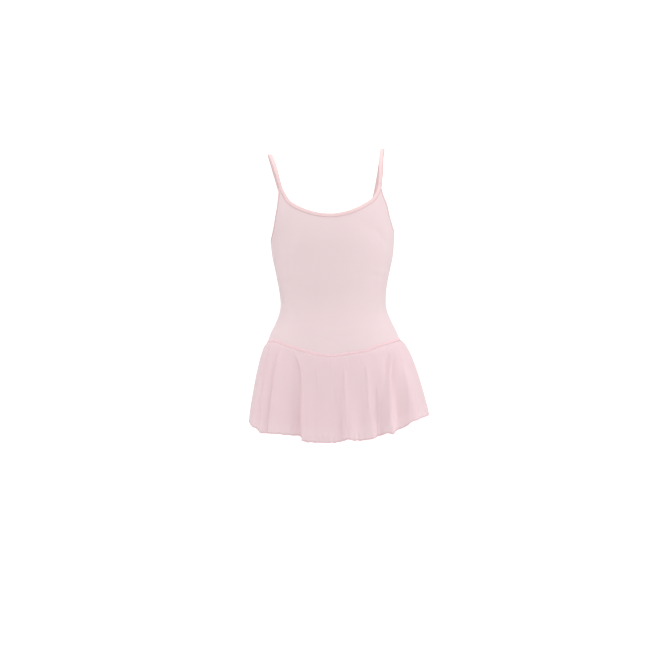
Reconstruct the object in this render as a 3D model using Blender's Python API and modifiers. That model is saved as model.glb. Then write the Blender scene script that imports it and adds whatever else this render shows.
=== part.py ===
"""Skirted leotard: a child's camisole leotard with a short sheer skirt, worn but with nobody in it.

Sizes are in millimetres and angles in degrees; points become metres when a mesh is made. +Z is up and
the front faces -Y. Left is -X and right is +X, as seen from the front. The origin is midway between
the tops of the two shoulder straps. The garment leans a little, so its two sides differ.

Every panel is a piece of one outer face, which level sections describe. A place on that face is an
angle round the body, from the front centre towards +X, and a height. Edges are lines of such places,
and each edge line runs with its cloth on the right-hand side, seen from outside.
"""

import math
from typing import NamedTuple

import bmesh
import bpy
import numpy as np
from mathutils import Vector

MM = 0.001
WELD = 1e-6

# Cloth
JERSEY_WALL = 1.2
BINDING_WALL = 2.0
BINDING_PROUD = 0.4
SKIRT_WALL = 1.0
SEAM_GAP = 0.3
STUB_GAP = 0.8
NECK_BINDING_WIDTH = 8.0
ARMHOLE_BINDING_WIDTH = 3.5
STRAP_WIDTH = 8.4
ROLL_RADIUS = 2.0
ROLL_INSET = 0.6
BRIEF_INSET = 1.0
SKIRT_OUTSET = 0.3

# Form
BODY_SQUARENESS = 2.3
HEM_SQUARENESS = 2.2
FLARE_POWER = 0.62
CROTCH_HEIGHT = -530.0
CROTCH_CROWDING = 1.5
SIDE = 90.0
ROUND = 360.0

# Meshes: the panels, the roll and the skirt share their columns round the body.
LINE_POINTS = 161
PANEL_COLUMNS = 30
SIDE_ROWS = 7
ARMHOLE_ROWS = 8
BAND_END_COLUMNS = 3
BRIEF_ROWS = 10
SKIRT_COLUMNS = 120
SKIRT_ROWS = 8
STRAP_ROWS = 22
ROLL_POINTS = 60
STRAP_END_SHARE = 0.22


def table(columns, *rows):
    """The rows' values by column name, with the rows in the order of their first column."""
    return dict(zip(columns.split(), np.array(sorted(rows), float).T))


# Level sections of the body's outer face: where it stands at each height, measured from the origin.
BODY = table(
    "height left right front back",
    (-60, -116.0, 128.0, 61.0, 66.0),
    (-90, -113.5, 129.5, 71.5, 77.0),
    (-120, -111.5, 129.5, 80.0, 83.0),
    (-150, -108.7, 129.3, 84.5, 85.0),
    (-172, -105.5, 129.1, 85.5, 83.0),
    (-199, -102.8, 127.1, 83.0, 78.0),
    (-222, -98.0, 122.5, 80.0, 72.0),
    (-245, -93.3, 117.6, 77.5, 67.0),
    (-279, -87.6, 113.8, 74.0, 63.5),
    (-302, -87.6, 115.7, 74.5, 65.0),
    (-325, -95.2, 125.2, 78.0, 72.0),
    (-347, -106.0, 136.0, 83.0, 80.5),
    (-370, -113.0, 142.5, 87.0, 88.0),
    (-400, -115.5, 145.0, 90.0, 95.0),
    (-435, -116.0, 146.0, 91.0, 98.0),
)

# The waist seam dips at the front centre and lies nearly level behind.
WAIST_SEAM = table(
    "angle height",
    (-90, -364.5),
    (-66, -360.0),
    (-52, -368.0),
    (-30, -379.5),
    (-3, -386.5),
    (18, -382.0),
    (35, -378.0),
    (49, -368.5),
    (64, -361.5),
    (79, -357.5),
    (90, -357.0),
    (130, -361.0),
    (180, -367.0),
    (230, -366.0),
)

# The skirt's hem: its height all round.
HEM = table(
    "angle height",
    (-90, -511.0),
    (-82, -517.0),
    (-76, -520.0),
    (-71.5, -523.5),
    (-69, -529.5),
    (-64, -531.5),
    (-57, -531.5),
    (-50, -532.0),
    (-44, -534.0),
    (-38.5, -535.5),
    (-35.5, -541.5),
    (-30, -545.0),
    (-18, -546.5),
    (-6, -546.5),
    (1, -545.0),
    (5.5, -542.5),
    (8, -540.5),
    (13, -542.0),
    (19, -542.8),
    (27, -541.5),
    (33, -538.5),
    (39, -534.5),
    (43, -530.0),
    (46.5, -531.0),
    (50, -526.5),
    (56, -523.5),
    (59, -519.0),
    (61.5, -511.5),
    (66, -505.5),
    (72, -503.5),
    (80, -502.5),
    (87, -498.5),
    (104, -495.0),
    (130, -512.0),
    (158, -526.0),
    (180, -531.0),
    (206, -531.0),
    (236, -522.0),
)
HEM_SECTION = {"centre": 24.3, "breadth": 172.3, "front": 106.0, "back": 124.0}


class Fold(NamedTuple):
    """A fold of the skirt: how far its crest stands out at the hem, a valley below zero."""

    angle: float
    out: float
    width: float
    start: float


FOLDS = (
    Fold(angle=-84, out=-1.5, width=5.0, start=0.10),
    Fold(angle=-74, out=2.5, width=5.0, start=0.05),
    Fold(angle=-63, out=-4.0, width=4.0, start=0.00),
    Fold(angle=-53, out=4.0, width=6.0, start=0.05),
    Fold(angle=-40, out=-7.0, width=4.5, start=0.05),
    Fold(angle=-30, out=4.5, width=5.0, start=0.05),
    Fold(angle=-12, out=1.5, width=8.0, start=0.20),
    Fold(angle=3, out=-3.0, width=3.5, start=0.25),
    Fold(angle=11, out=4.0, width=5.0, start=0.15),
    Fold(angle=23, out=-2.0, width=5.0, start=0.30),
    Fold(angle=31, out=2.5, width=4.0, start=0.10),
    Fold(angle=38.5, out=-6.0, width=3.5, start=0.25),
    Fold(angle=46, out=8.0, width=4.0, start=0.00),
    Fold(angle=56, out=-9.0, width=4.5, start=0.05),
    Fold(angle=66, out=6.0, width=5.0, start=0.00),
    Fold(angle=77, out=-3.0, width=5.0, start=0.15),
    Fold(angle=98, out=-7.0, width=6.0, start=0.10),
    Fold(angle=110, out=6.0, width=6.0, start=0.05),
    Fold(angle=122, out=-9.0, width=5.0, start=0.00),
    Fold(angle=136, out=7.0, width=7.0, start=0.15),
    Fold(angle=150, out=-8.0, width=5.0, start=0.10),
    Fold(angle=163, out=6.0, width=6.0, start=0.05),
    Fold(angle=177, out=-10.0, width=5.5, start=0.00),
    Fold(angle=191, out=8.0, width=7.0, start=0.10),
    Fold(angle=205, out=-7.0, width=5.0, start=0.20),
    Fold(angle=219, out=6.0, width=7.0, start=0.05),
    Fold(angle=233, out=-9.0, width=5.5, start=0.05),
    Fold(angle=247, out=6.0, width=6.0, start=0.15),
    Fold(angle=259, out=-6.0, width=5.0, start=0.00),
)


class Place(NamedTuple):
    """A point of an edge as it is seen from the front or the back."""

    x: float
    height: float


NECK_FRONT = (
    Place(x=-84.0, height=-66.0),
    Place(x=-81.5, height=-73.0),
    Place(x=-76.0, height=-83.0),
    Place(x=-67.0, height=-96.5),
    Place(x=-47.5, height=-108.5),
    Place(x=-19.5, height=-118.0),
    Place(x=11.0, height=-121.0),
    Place(x=47.0, height=-113.5),
    Place(x=71.0, height=-102.0),
    Place(x=84.0, height=-93.5),
    Place(x=92.0, height=-83.5),
    Place(x=96.5, height=-74.0),
    Place(x=98.5, height=-66.0),
)
NECK_BACK = (
    Place(x=86.0, height=-102.0),
    Place(x=80.5, height=-117.0),
    Place(x=70.0, height=-140.0),
    Place(x=47.0, height=-168.0),
    Place(x=11.0, height=-182.0),
    Place(x=-24.0, height=-170.0),
    Place(x=-48.0, height=-144.0),
    Place(x=-60.5, height=-121.0),
    Place(x=-67.0, height=-106.0),
)

# Armhole edges, from the front strap down under the arm and up to the back strap.
ARMHOLE_RIGHT = (
    (66.0, -66.0),
    (65.9, -77.0),
    (66.2, -87.0),
    (68.4, -101.0),
    (73.0, -131.0),
    (80.0, -147.0),
    (90.0, -154.0),
    (101.0, -150.0),
    (110.5, -140.0),
    (119.0, -129.0),
    (125.6, -114.0),
    (128.6, -100.0),
)
ARMHOLE_LEFT = (
    (64.9, -66.0),
    (64.7, -80.0),
    (64.6, -95.0),
    (64.8, -110.0),
    (66.6, -126.0),
    (70.5, -148.0),
    (77.0, -163.0),
    (85.0, -172.0),
    (93.0, -175.0),
    (104.0, -169.0),
    (113.0, -154.0),
    (121.0, -136.0),
    (127.0, -118.0),
    (129.8, -104.0),
)

# Middle lines of the straps over the shoulders, between the front and back necklines: x, y and height.
STRAP_RIGHT = (
    (103.6, -36.0, -43.0),
    (104.6, -18.0, -14.0),
    (107.3, 5.0, 5.2),
    (106.5, 29.0, -6.0),
    (102.5, 47.0, -38.0),
    (96.0, 58.5, -74.0),
)
STRAP_LEFT = (
    (-94.0, -35.5, -42.0),
    (-101.3, -17.0, -18.0),
    (-107.3, 5.0, -5.6),
    (-105.0, 28.0, -15.0),
    (-96.5, 47.0, -45.0),
    (-85.5, 58.5, -80.0),
)


class BriefRow(NamedTuple):
    """A row of a brief panel, from the waist seam to the crotch.

    Share is the place of the row down the panel. Depth and half-width are shares of the body's own at
    that height, and middle and edge say how far the row's middle and ends have come down.
    """

    share: float
    depth: float
    middle: float
    half: float
    edge: float


BRIEF_FRONT = table(
    " ".join(BriefRow._fields),
    BriefRow(share=0.00, depth=1.000, middle=0.00, half=1.00, edge=0.00),
    BriefRow(share=0.20, depth=1.000, middle=0.21, half=1.00, edge=0.20),
    BriefRow(share=0.42, depth=0.995, middle=0.44, half=1.00, edge=0.42),
    BriefRow(share=0.54, depth=0.960, middle=0.58, half=0.90, edge=0.52),
    BriefRow(share=0.66, depth=0.870, middle=0.72, half=0.70, edge=0.66),
    BriefRow(share=0.78, depth=0.710, middle=0.85, half=0.48, edge=0.82),
    BriefRow(share=0.90, depth=0.420, middle=0.965, half=0.31, edge=0.955),
    BriefRow(share=0.97, depth=0.140, middle=0.997, half=0.265, edge=0.996),
    BriefRow(share=1.00, depth=0.000, middle=1.00, half=0.26, edge=1.00),
)
BRIEF_BACK = table(
    " ".join(BriefRow._fields),
    BriefRow(share=0.00, depth=1.000, middle=0.00, half=1.00, edge=0.00),
    BriefRow(share=0.20, depth=1.000, middle=0.21, half=1.00, edge=0.20),
    BriefRow(share=0.42, depth=1.000, middle=0.44, half=1.00, edge=0.42),
    BriefRow(share=0.54, depth=0.980, middle=0.58, half=0.97, edge=0.55),
    BriefRow(share=0.66, depth=0.920, middle=0.72, half=0.86, edge=0.70),
    BriefRow(share=0.78, depth=0.770, middle=0.85, half=0.64, edge=0.85),
    BriefRow(share=0.90, depth=0.470, middle=0.96, half=0.37, edge=0.965),
    BriefRow(share=0.97, depth=0.150, middle=0.996, half=0.27, edge=0.997),
    BriefRow(share=1.00, depth=0.000, middle=1.00, half=0.26, edge=1.00),
)


class Finish(NamedTuple):
    """A cloth's colour, as screen values from 0 to 255, and how rough it is."""

    colour: tuple
    roughness: float


JERSEY = Finish(colour=(237, 216, 218), roughness=0.85)
BINDING = Finish(colour=(243, 213, 209), roughness=0.70)
SHEER = Finish(colour=(232, 206, 210), roughness=0.60)


def smooth(places, values, at):
    """The smooth curve through the values, read at one place and held level past its ends."""
    at = min(max(at, places[0]), places[-1])
    slopes = np.gradient(values, places)
    row = min(int(np.searchsorted(places, at, side="right")) - 1, len(places) - 2)
    span = places[row + 1] - places[row]
    share = (at - places[row]) / span
    rest = 1 - share
    start = values[row] * (1 + 2 * share) * rest**2 + slopes[row] * span * share * rest**2
    end = values[row + 1] * (1 + 2 * rest) * share**2 - slopes[row + 1] * span * rest * share**2
    return start + end


def smooth_round(ring, at):
    """The smooth closed curve through a table of angle and height, read at any angle."""
    angles, heights = ring["angle"], ring["height"]
    places = np.concatenate([angles[-2:] - ROUND, angles, angles[:2] + ROUND])
    values = np.concatenate([heights[-2:], heights, heights[:2]])
    return smooth(places, values, (at - angles[0]) % ROUND + angles[0])


def ease(share):
    """Rises from 0 to 1 with level ends."""
    share = min(max(share, 0.0), 1.0)
    return share * share * (3 - 2 * share)


def section_radius(turn, breadth, depth, squareness):
    """How far a level section's outline lies from its centre, at a turn in radians from the front."""
    across = abs(math.sin(turn)) / breadth
    ahead = abs(math.cos(turn)) / depth
    return (across**squareness + ahead**squareness) ** (-1 / squareness)


def body_at(side, height):
    return smooth(BODY["height"], BODY[side], height)


def body_centre(height):
    return (body_at("left", height) + body_at("right", height)) / 2


def body_breadth(height):
    return (body_at("right", height) - body_at("left", height)) / 2


def on_body(angle, height):
    """The point of the body's outer face at this angle and height."""
    turn = math.radians(angle)
    depth = body_at("front" if math.cos(turn) > 0 else "back", height)
    radius = section_radius(turn, body_breadth(height), depth, BODY_SQUARENESS)
    return np.array([body_centre(height) + radius * math.sin(turn), -radius * math.cos(turn), height])


def place_of(point, near):
    """The angle and height of a point, with the angle within half a turn of the one that is near."""
    angle = math.degrees(math.atan2(point[0] - body_centre(point[2]), -point[1]))
    return angle + ROUND * round((near - angle) / ROUND), point[2]


def body_normal(angle, height):
    """The direction straight out of the body's outer face."""
    across = on_body(angle + 1, height) - on_body(angle - 1, height)
    up = on_body(angle, height + 1) - on_body(angle, height - 1)
    out = np.cross(across, up)
    return out / np.linalg.norm(out)


def off_body(angle, height, out):
    """The point straight out from the body's outer face, or into it where out is below zero."""
    return on_body(angle, height) + out * body_normal(angle, height)


def waist_seam(angle):
    return smooth_round(WAIST_SEAM, angle)


def evenly(line, lengths):
    """A line's points spaced evenly by the lengths along it."""
    marks = np.linspace(0, lengths[-1], LINE_POINTS)
    return np.stack([np.interp(marks, lengths, column) for column in line.T], axis=1)


def lengths_along(points):
    steps = np.linalg.norm(np.diff(points, axis=0), axis=1)
    return np.concatenate([[0], np.cumsum(steps)])


def curve_through(rows):
    """Points evenly spaced along the smooth curve through the rows."""
    rows = np.array(rows, float)
    along = lengths_along(rows)
    marks = np.linspace(0, along[-1], LINE_POINTS)
    curve = np.array([[smooth(along, column, mark) for column in rows.T] for mark in marks])
    return evenly(curve, lengths_along(curve))


def edge_line(rows):
    """The edge through rows of angle and height, its points evenly spaced on the body."""
    curve = curve_through(rows)
    return evenly(curve, lengths_along(np.array([on_body(*row) for row in curve])))


def neck_edge(places, front):
    """A neckline as an edge: each x that is seen from the front gives an angle round the body."""
    rows = []
    for x, height in places:
        breadth = body_breadth(height)
        depth = body_at("front" if front else "back", height)
        aside = x - body_centre(height)
        ahead = depth * (1 - abs(aside / breadth) ** BODY_SQUARENESS) ** (1 / BODY_SQUARENESS)
        rows.append((math.degrees(math.atan2(aside, ahead if front else -ahead)) % ROUND, height))
    if front:
        rows = [(angle - ROUND if angle > 2 * SIDE else angle, height) for angle, height in rows]
    return edge_line(rows)


def armhole_edge(rows, right):
    """An armhole as an edge: the left one runs from the back to the front."""
    if right:
        return edge_line(rows)
    return edge_line([(ROUND - angle, height) for angle, height in reversed(rows)])


def inset(line, width):
    """The line moved into its cloth by the width, point by point."""
    points = np.array([on_body(*row) for row in line])
    along = np.gradient(points, axis=0)
    moved = []
    for row, point, way in zip(line, points, along):
        into = np.cross(way, body_normal(*row))
        moved.append(place_of(point + width * into / np.linalg.norm(into), row[0]))
    return np.array(moved)


def crossing(line, other):
    """The row number, with its share, at which the line first meets the other."""
    for row, (start, step) in enumerate(zip(line, np.diff(line, axis=0))):
        for corner, way in zip(other, np.diff(other, axis=0)):
            lean = step[0] * way[1] - step[1] * way[0]
            reach = corner - start
            share = (reach[0] * way[1] - reach[1] * way[0]) / lean
            far = (reach[0] * step[1] - reach[1] * step[0]) / lean
            if 0 <= share <= 1 and 0 <= far <= 1:
                return row + share
    raise ValueError("two edges do not meet")


def at_rows(line, rows):
    """The line's places at these row numbers."""
    numbers = np.arange(len(line))
    return np.stack([np.interp(rows, numbers, column) for column in line.T], axis=1)


def turned(line, angle):
    """The line with its angles moved on, so that it can join one on the other side of the start."""
    return line + np.array([angle, 0.0])


class Edges(NamedTuple):
    """An opening's finished edge, and the lines inside it where its binding, panel and stubs end."""

    line: np.ndarray
    bound: np.ndarray
    panel: np.ndarray
    stub: np.ndarray

    def turned(self, angle):
        """The same edges with their angles moved on, to join edges on the other side of the start."""
        return Edges(*(turned(line, angle) for line in self))


def edges_of(line, width):
    return Edges(line, *(inset(line, width + gap) for gap in (0, SEAM_GAP, STUB_GAP)))


def side_line(angle):
    """The side seam as a line from the crotch's height to above the shoulders."""
    return np.array([(angle, CROTCH_HEIGHT), (angle, -CROTCH_HEIGHT)])


def rows_between(start, end, count):
    return np.linspace(start, end, count + 1)


def armhole_rows(armhole, neck_before, neck_after, side):
    """Row numbers along an armhole's three lines, from one neck binding past the side to the other."""
    middle = crossing(armhole.panel, side_line(side))
    ends = []
    for line, cut in ((armhole.line, "stub"), (armhole.bound, "stub"), (armhole.panel, "panel")):
        last = len(line) - 1 - crossing(line[::-1], getattr(neck_after, cut)[::-1])
        ends.append((crossing(line, getattr(neck_before, cut)), last))
    first, last = ends[-1]
    before, after = rows_between(first, middle, ARMHOLE_ROWS), rows_between(middle, last, ARMHOLE_ROWS)
    return [np.concatenate([[start], before[1:], after[1:-1], [end]]) for start, end in ends]


def waist_edge(angles, clear):
    """The places where panels end at the waist seam, this far above its middle, or below it."""
    return np.array([(angle, waist_seam(angle) + clear) for angle in angles])


def side_gap_angle():
    """Half the gap of a side seam, as an angle."""
    return math.degrees(SEAM_GAP / 2 / body_breadth(BODY["height"][0]))


def side_edge(angle, foot, armhole):
    """A bodice panel's side: up the side seam from its foot, then along the armhole to the neck."""
    seam = np.linspace((angle, foot), (angle, armhole[0, 1]), SIDE_ROWS + 1)
    return np.concatenate([seam, armhole[1:]])


def shares_up(side):
    """How far up a panel's side each of its rows lies."""
    return (side[:, 1] - side[0, 1]) / (side[-1, 1] - side[0, 1])


def panel_place(foot, top, first_side, last_side):
    """Where a bodice panel's points lie: its four edges blended, as places on the body."""
    columns, rows = len(foot) - 1, len(first_side) - 1
    first_up, last_up = shares_up(first_side), shares_up(last_side)

    def place(u, v):
        column, row = round(u * columns), round(v * rows)
        across = column / columns
        up = first_up[row] * (1 - across) + last_up[row] * across
        upright = foot[column] * (1 - up) + top[column] * up
        level = first_side[row] * (1 - across) + last_side[row] * across
        low = foot[0] * (1 - across) + foot[-1] * across
        high = top[0] * (1 - across) + top[-1] * across
        return on_body(*(upright + level - low * (1 - up) - high * up))

    return place


def strip_place(upper, lower):
    """Where a binding's points lie: across it, from the lower line to the upper one."""
    columns = len(upper) - 1

    def place(u, v):
        column = round(u * columns)
        return off_body(*(upper if v > 0.5 else lower)[column], BINDING_PROUD)

    return place


def strap_place(start, end, middle):
    """Where a strap's points lie, from its front end (left and right point) to its back end."""
    ends = []
    for (left, right), beside in ((start, middle[0]), (end, middle[-1])):
        centre = (left + right) / 2
        away = np.array(beside) - centre
        ends.append((centre + SEAM_GAP * away / np.linalg.norm(away), (right - left) / 2))
    path = curve_through([ends[0][0], *middle, ends[1][0]])
    ways = np.gradient(path, axis=0)
    ways /= np.linalg.norm(ways, axis=1)[:, None]

    def place(u, v):
        row = round(round(v * STRAP_ROWS) / STRAP_ROWS * (LINE_POINTS - 1))
        square = np.array([1.0, 0.0, 0.0]) - ways[row][0] * ways[row]
        square *= STRAP_WIDTH / 2 / np.linalg.norm(square)
        nearest = ends[0][1] if v < 0.5 else ends[1][1]
        free = ease(min(v, 1 - v) / STRAP_END_SHARE)
        return path[row] + (2 * u - 1) * (nearest + (square - nearest) * free)

    return place


def brief_place(rows, front):
    """Where a brief panel's points lie: arches that come down from the waist seam to the crotch."""
    facing = 1 if front else -1

    def place(u, v):
        angle = 2 * SIDE * u + (-SIDE if front else SIDE)
        waist = waist_seam(angle) - ROLL_RADIUS - SEAM_GAP
        turn = math.radians(angle)
        breadth = body_breadth(waist)
        radius = section_radius(turn, breadth, body_at("front" if front else "back", waist), BODY_SQUARENESS)
        aside = radius * math.sin(turn) / breadth
        share = 1 - v**CROTCH_CROWDING
        depth, middle, half, edge = (
            smooth(rows["share"], rows[name], share) for name in ("depth", "middle", "half", "edge")
        )
        height = waist + (CROTCH_HEIGHT - waist) * (middle + (edge - middle) * aside**2)
        reach = aside * min(half, 1.0)
        arch = max(1 - abs(reach) ** BODY_SQUARENESS, 0.0) ** (1 / BODY_SQUARENESS)
        ahead = (body_at("front" if front else "back", height) - BRIEF_INSET) * depth * arch
        x = body_centre(height) + reach * (body_breadth(height) - BRIEF_INSET)
        return np.array([x, -facing * (ahead + SEAM_GAP / 2), height])

    return place


def skirt_place(u, v):
    """A point of the skirt: from just outside the waist seam it flares to the folded hem."""
    angle = (ROUND * u) % ROUND
    turn = math.radians(angle)
    down = 1 - v
    waist = waist_seam(angle) - ROLL_RADIUS - SEAM_GAP
    top = off_body(angle, waist, SKIRT_OUTSET)
    depth = HEM_SECTION["front" if math.cos(turn) > 0 else "back"]
    radius = section_radius(turn, HEM_SECTION["breadth"], depth, HEM_SQUARENESS)
    folds = 0.0
    for fold in FOLDS:
        away = (angle - fold.angle + ROUND / 2) % ROUND - ROUND / 2
        grown = ease((down - fold.start) / (1 - fold.start)) if down > fold.start else 0.0
        folds += fold.out * grown * math.exp(-((away / fold.width) ** 2))
    hem = np.array(
        [HEM_SECTION["centre"] + radius * math.sin(turn), -radius * math.cos(turn), smooth_round(HEM, angle)]
    )
    spread = down**FLARE_POWER
    point = top + (hem - top) * np.array([spread, spread, down])
    return point + folds * np.array([math.sin(turn), -math.cos(turn), 0.0])


def linear(value):
    """A screen value from 0 to 255 as the linear value that a shader takes."""
    share = value / 255
    return share / 12.92 if share <= 0.04045 else ((share + 0.055) / 1.055) ** 2.4


def give_material(piece, finish):
    material = bpy.data.materials.new(piece.name)
    material.use_nodes = True
    shader = material.node_tree.nodes["Principled BSDF"]
    shader.inputs["Base Color"].default_value = (*map(linear, finish.colour), 1.0)
    shader.inputs["Roughness"].default_value = finish.roughness
    shader.inputs["Metallic"].default_value = 0.0
    piece.data.materials.append(material)


def add_sheet(collection, name, across, up, place, wall, finish, ring=False):
    """A cloth of across by up faces, with its outer face at place(u, v) and its wall inside that."""
    cloth = bmesh.new()
    bmesh.ops.create_grid(cloth, x_segments=across, y_segments=up, size=0.5)
    for point in cloth.verts:
        point.co = Vector(place(point.co.x + 0.5, point.co.y + 0.5)) * MM
    if ring:
        bmesh.ops.remove_doubles(cloth, verts=cloth.verts, dist=WELD)
    mesh = bpy.data.meshes.new(name)
    cloth.to_mesh(mesh)
    cloth.free()
    mesh.shade_smooth()
    piece = bpy.data.objects.new(name, mesh)
    collection.objects.link(piece)
    thickness = piece.modifiers.new("Wall", "SOLIDIFY")
    thickness.thickness = wall * MM
    thickness.offset = -1
    thickness.use_even_offset = True
    give_material(piece, finish)


def add_waist_roll(collection):
    """The narrow roll that covers the waist seam, all round."""
    path = bpy.data.curves.new("waist_roll", "CURVE")
    path.dimensions = "3D"
    path.bevel_depth = ROLL_RADIUS * MM
    path.bevel_resolution = 1
    ring = path.splines.new("POLY")
    ring.points.add(ROLL_POINTS - 1)
    for number, point in enumerate(ring.points):
        angle = ROUND * number / ROLL_POINTS
        point.co = (*(Vector(off_body(angle, waist_seam(angle), -ROLL_INSET)) * MM), 1.0)
    ring.use_cyclic_u = True
    piece = bpy.data.objects.new("waist_roll", path)
    collection.objects.link(piece)
    give_material(piece, BINDING)


def add_bodice(collection, name, neck, first_armhole, last_armhole, first_angle):
    """A bodice panel between its two side seams, under the two armholes and the neckline."""
    gap = side_gap_angle()
    angles = np.linspace(first_angle, first_angle + 2 * SIDE, PANEL_COLUMNS + 1)
    angles[[0, -1]] += (gap, -gap)
    foot = waist_edge(angles, ROLL_RADIUS + SEAM_GAP)
    first_side = side_edge(angles[0], foot[0, 1], first_armhole)
    last_side = side_edge(angles[-1], foot[-1, 1], last_armhole)
    place = panel_place(foot, neck, first_side, last_side)
    add_sheet(collection, name, PANEL_COLUMNS, SIDE_ROWS + ARMHOLE_ROWS, place, JERSEY_WALL, JERSEY)


def add_neck_binding(collection, name, neck, first, last):
    """The band round a neckline, with a column at each of the panel's own."""
    start = rows_between(0, first, BAND_END_COLUMNS)[:-1]
    end = rows_between(last, LINE_POINTS - 1, BAND_END_COLUMNS)[1:]
    rows = np.concatenate([start, rows_between(first, last, PANEL_COLUMNS), end])
    upper, lower = at_rows(neck.line, rows), at_rows(neck.bound, rows)
    add_sheet(collection, name, len(rows) - 1, 1, strip_place(upper, lower), BINDING_WALL, BINDING)


def add_armhole_binding(collection, name, armhole, numbers):
    upper, lower = at_rows(armhole.line, numbers[0]), at_rows(armhole.bound, numbers[1])
    columns = len(upper) - 1
    add_sheet(collection, name, columns, 1, strip_place(upper, lower), BINDING_WALL, BINDING)


def band_end(neck, row, line_is_left):
    """The left and right corner of a neck binding's end."""
    line, bound = (off_body(*lines[row], BINDING_PROUD) for lines in (neck.line, neck.bound))
    return (line, bound) if line_is_left else (bound, line)


def new_collection():
    for leftover in list(bpy.data.objects):
        bpy.data.objects.remove(leftover)
    collection = bpy.data.collections.new("skirted_leotard")
    bpy.context.scene.collection.children.link(collection)
    return collection


def main():
    collection = new_collection()
    neck_front = edges_of(neck_edge(NECK_FRONT, front=True), NECK_BINDING_WIDTH)
    neck_back = edges_of(neck_edge(NECK_BACK, front=False), NECK_BINDING_WIDTH)
    right = edges_of(armhole_edge(ARMHOLE_RIGHT, right=True), ARMHOLE_BINDING_WIDTH)
    left = edges_of(armhole_edge(ARMHOLE_LEFT, right=False), ARMHOLE_BINDING_WIDTH)
    left_numbers = armhole_rows(left, neck_back, neck_front.turned(ROUND), ROUND - SIDE)
    right_numbers = armhole_rows(right, neck_front, neck_back, SIDE)
    left_top, right_top = at_rows(left.panel, left_numbers[2]), at_rows(right.panel, right_numbers[2])

    front_first = crossing(neck_front.panel, turned(left.panel, -ROUND))
    front_last = crossing(neck_front.panel[LINE_POINTS // 2 :], right.panel) + LINE_POINTS // 2
    back_first = crossing(neck_back.panel, right.panel)
    back_last = crossing(neck_back.panel[LINE_POINTS // 2 :], left.panel) + LINE_POINTS // 2
    front_top = at_rows(neck_front.panel, rows_between(front_first, front_last, PANEL_COLUMNS))
    back_top = at_rows(neck_back.panel, rows_between(back_first, back_last, PANEL_COLUMNS))

    left_front = turned(left_top[ARMHOLE_ROWS:], -ROUND)
    right_front = right_top[ARMHOLE_ROWS::-1]
    right_back = right_top[ARMHOLE_ROWS:]
    left_back = left_top[ARMHOLE_ROWS::-1]
    add_bodice(collection, "bodice_front", front_top, left_front, right_front, -SIDE)
    add_bodice(collection, "bodice_back", back_top, right_back, left_back, SIDE)

    add_neck_binding(collection, "neck_binding_front", neck_front, front_first, front_last)
    add_neck_binding(collection, "neck_binding_back", neck_back, back_first, back_last)
    add_armhole_binding(collection, "armhole_binding_left", left, left_numbers)
    add_armhole_binding(collection, "armhole_binding_right", right, right_numbers)

    straps = {
        "strap_left": (band_end(neck_front, 0, False), band_end(neck_back, -1, False), STRAP_LEFT),
        "strap_right": (band_end(neck_front, -1, True), band_end(neck_back, 0, True), STRAP_RIGHT),
    }
    for name, ends in straps.items():
        add_sheet(collection, name, 1, STRAP_ROWS, strap_place(*ends), BINDING_WALL, BINDING)

    add_waist_roll(collection)
    briefs = {"brief_front": (BRIEF_FRONT, True), "brief_back": (BRIEF_BACK, False)}
    for name, shape in briefs.items():
        add_sheet(collection, name, PANEL_COLUMNS, BRIEF_ROWS, brief_place(*shape), JERSEY_WALL, JERSEY)
    add_sheet(collection, "skirt", SKIRT_COLUMNS, SKIRT_ROWS, skirt_place, SKIRT_WALL, SHEER, ring=True)


main()
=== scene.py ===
"""Looks of the skirted leotard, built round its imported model.

Sizes are in millimetres and angles in degrees until a mesh is made, where they become metres. +Z is up
and the front faces -Y. A place on the body's outer face is an angle round it, from the front centre
towards +X, and a height. Every panel, band and fold follows the same level sections and edge lines as
the solids it stands for, with a finer mesh, thinner cloth, rounded bands, stitches and soft creases.
"""

import logging
import math
from dataclasses import dataclass
from enum import Enum
from typing import NamedTuple, Sequence

import bmesh
import bpy
import numpy as np
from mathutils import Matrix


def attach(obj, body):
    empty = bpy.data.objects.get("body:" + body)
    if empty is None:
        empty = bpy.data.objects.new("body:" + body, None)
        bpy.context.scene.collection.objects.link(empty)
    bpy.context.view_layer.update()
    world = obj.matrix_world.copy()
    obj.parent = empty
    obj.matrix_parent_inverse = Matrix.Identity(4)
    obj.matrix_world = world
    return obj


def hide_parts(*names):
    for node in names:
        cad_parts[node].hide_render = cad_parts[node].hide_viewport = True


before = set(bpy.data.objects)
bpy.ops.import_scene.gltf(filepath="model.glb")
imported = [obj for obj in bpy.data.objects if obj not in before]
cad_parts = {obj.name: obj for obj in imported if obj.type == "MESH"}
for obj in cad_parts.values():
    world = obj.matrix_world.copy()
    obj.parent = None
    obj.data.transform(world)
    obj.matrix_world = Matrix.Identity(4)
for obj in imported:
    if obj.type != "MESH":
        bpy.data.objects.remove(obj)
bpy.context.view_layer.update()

LOG = logging.getLogger("skirted_leotard")

MM = 0.001
SIDE = 90.0
ROUND = 360.0
FAR = 600.0
WHITE = (1.0, 1.0, 1.0, 1.0)
LINE_POINTS = 321
BODY_NAME = "root"

Points = np.ndarray
Table = dict[str, np.ndarray]
Rows = Sequence[Sequence[float]]
Ends = tuple[float, float]


class Slot(Enum):
    """The record's material slots."""

    JERSEY = "jersey"
    BINDING = "binding"
    SHEER = "sheer"


class Held(Enum):
    """How a sheet of cloth is held up."""

    STRETCHED = "stretched"
    HUNG = "hung"


class Face(Enum):
    """The half of the garment that a panel covers, by the name of its depth in the sections."""

    FRONT = "front"
    BACK = "back"

    @property
    def facing(self) -> int:
        """1 for the front and -1 for the back."""
        return 1 if self is Face.FRONT else -1


def table(columns: str, *rows: Sequence[float]) -> Table:
    """Sorts short rows of numbers into named columns.

    Args:
        columns: The columns' names, with spaces between them.
        rows: The rows, one value for each column.

    Returns:
        The values by column name, in the order of the first column.
    """
    return dict(zip(columns.split(), np.array(sorted(rows), float).T))


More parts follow.
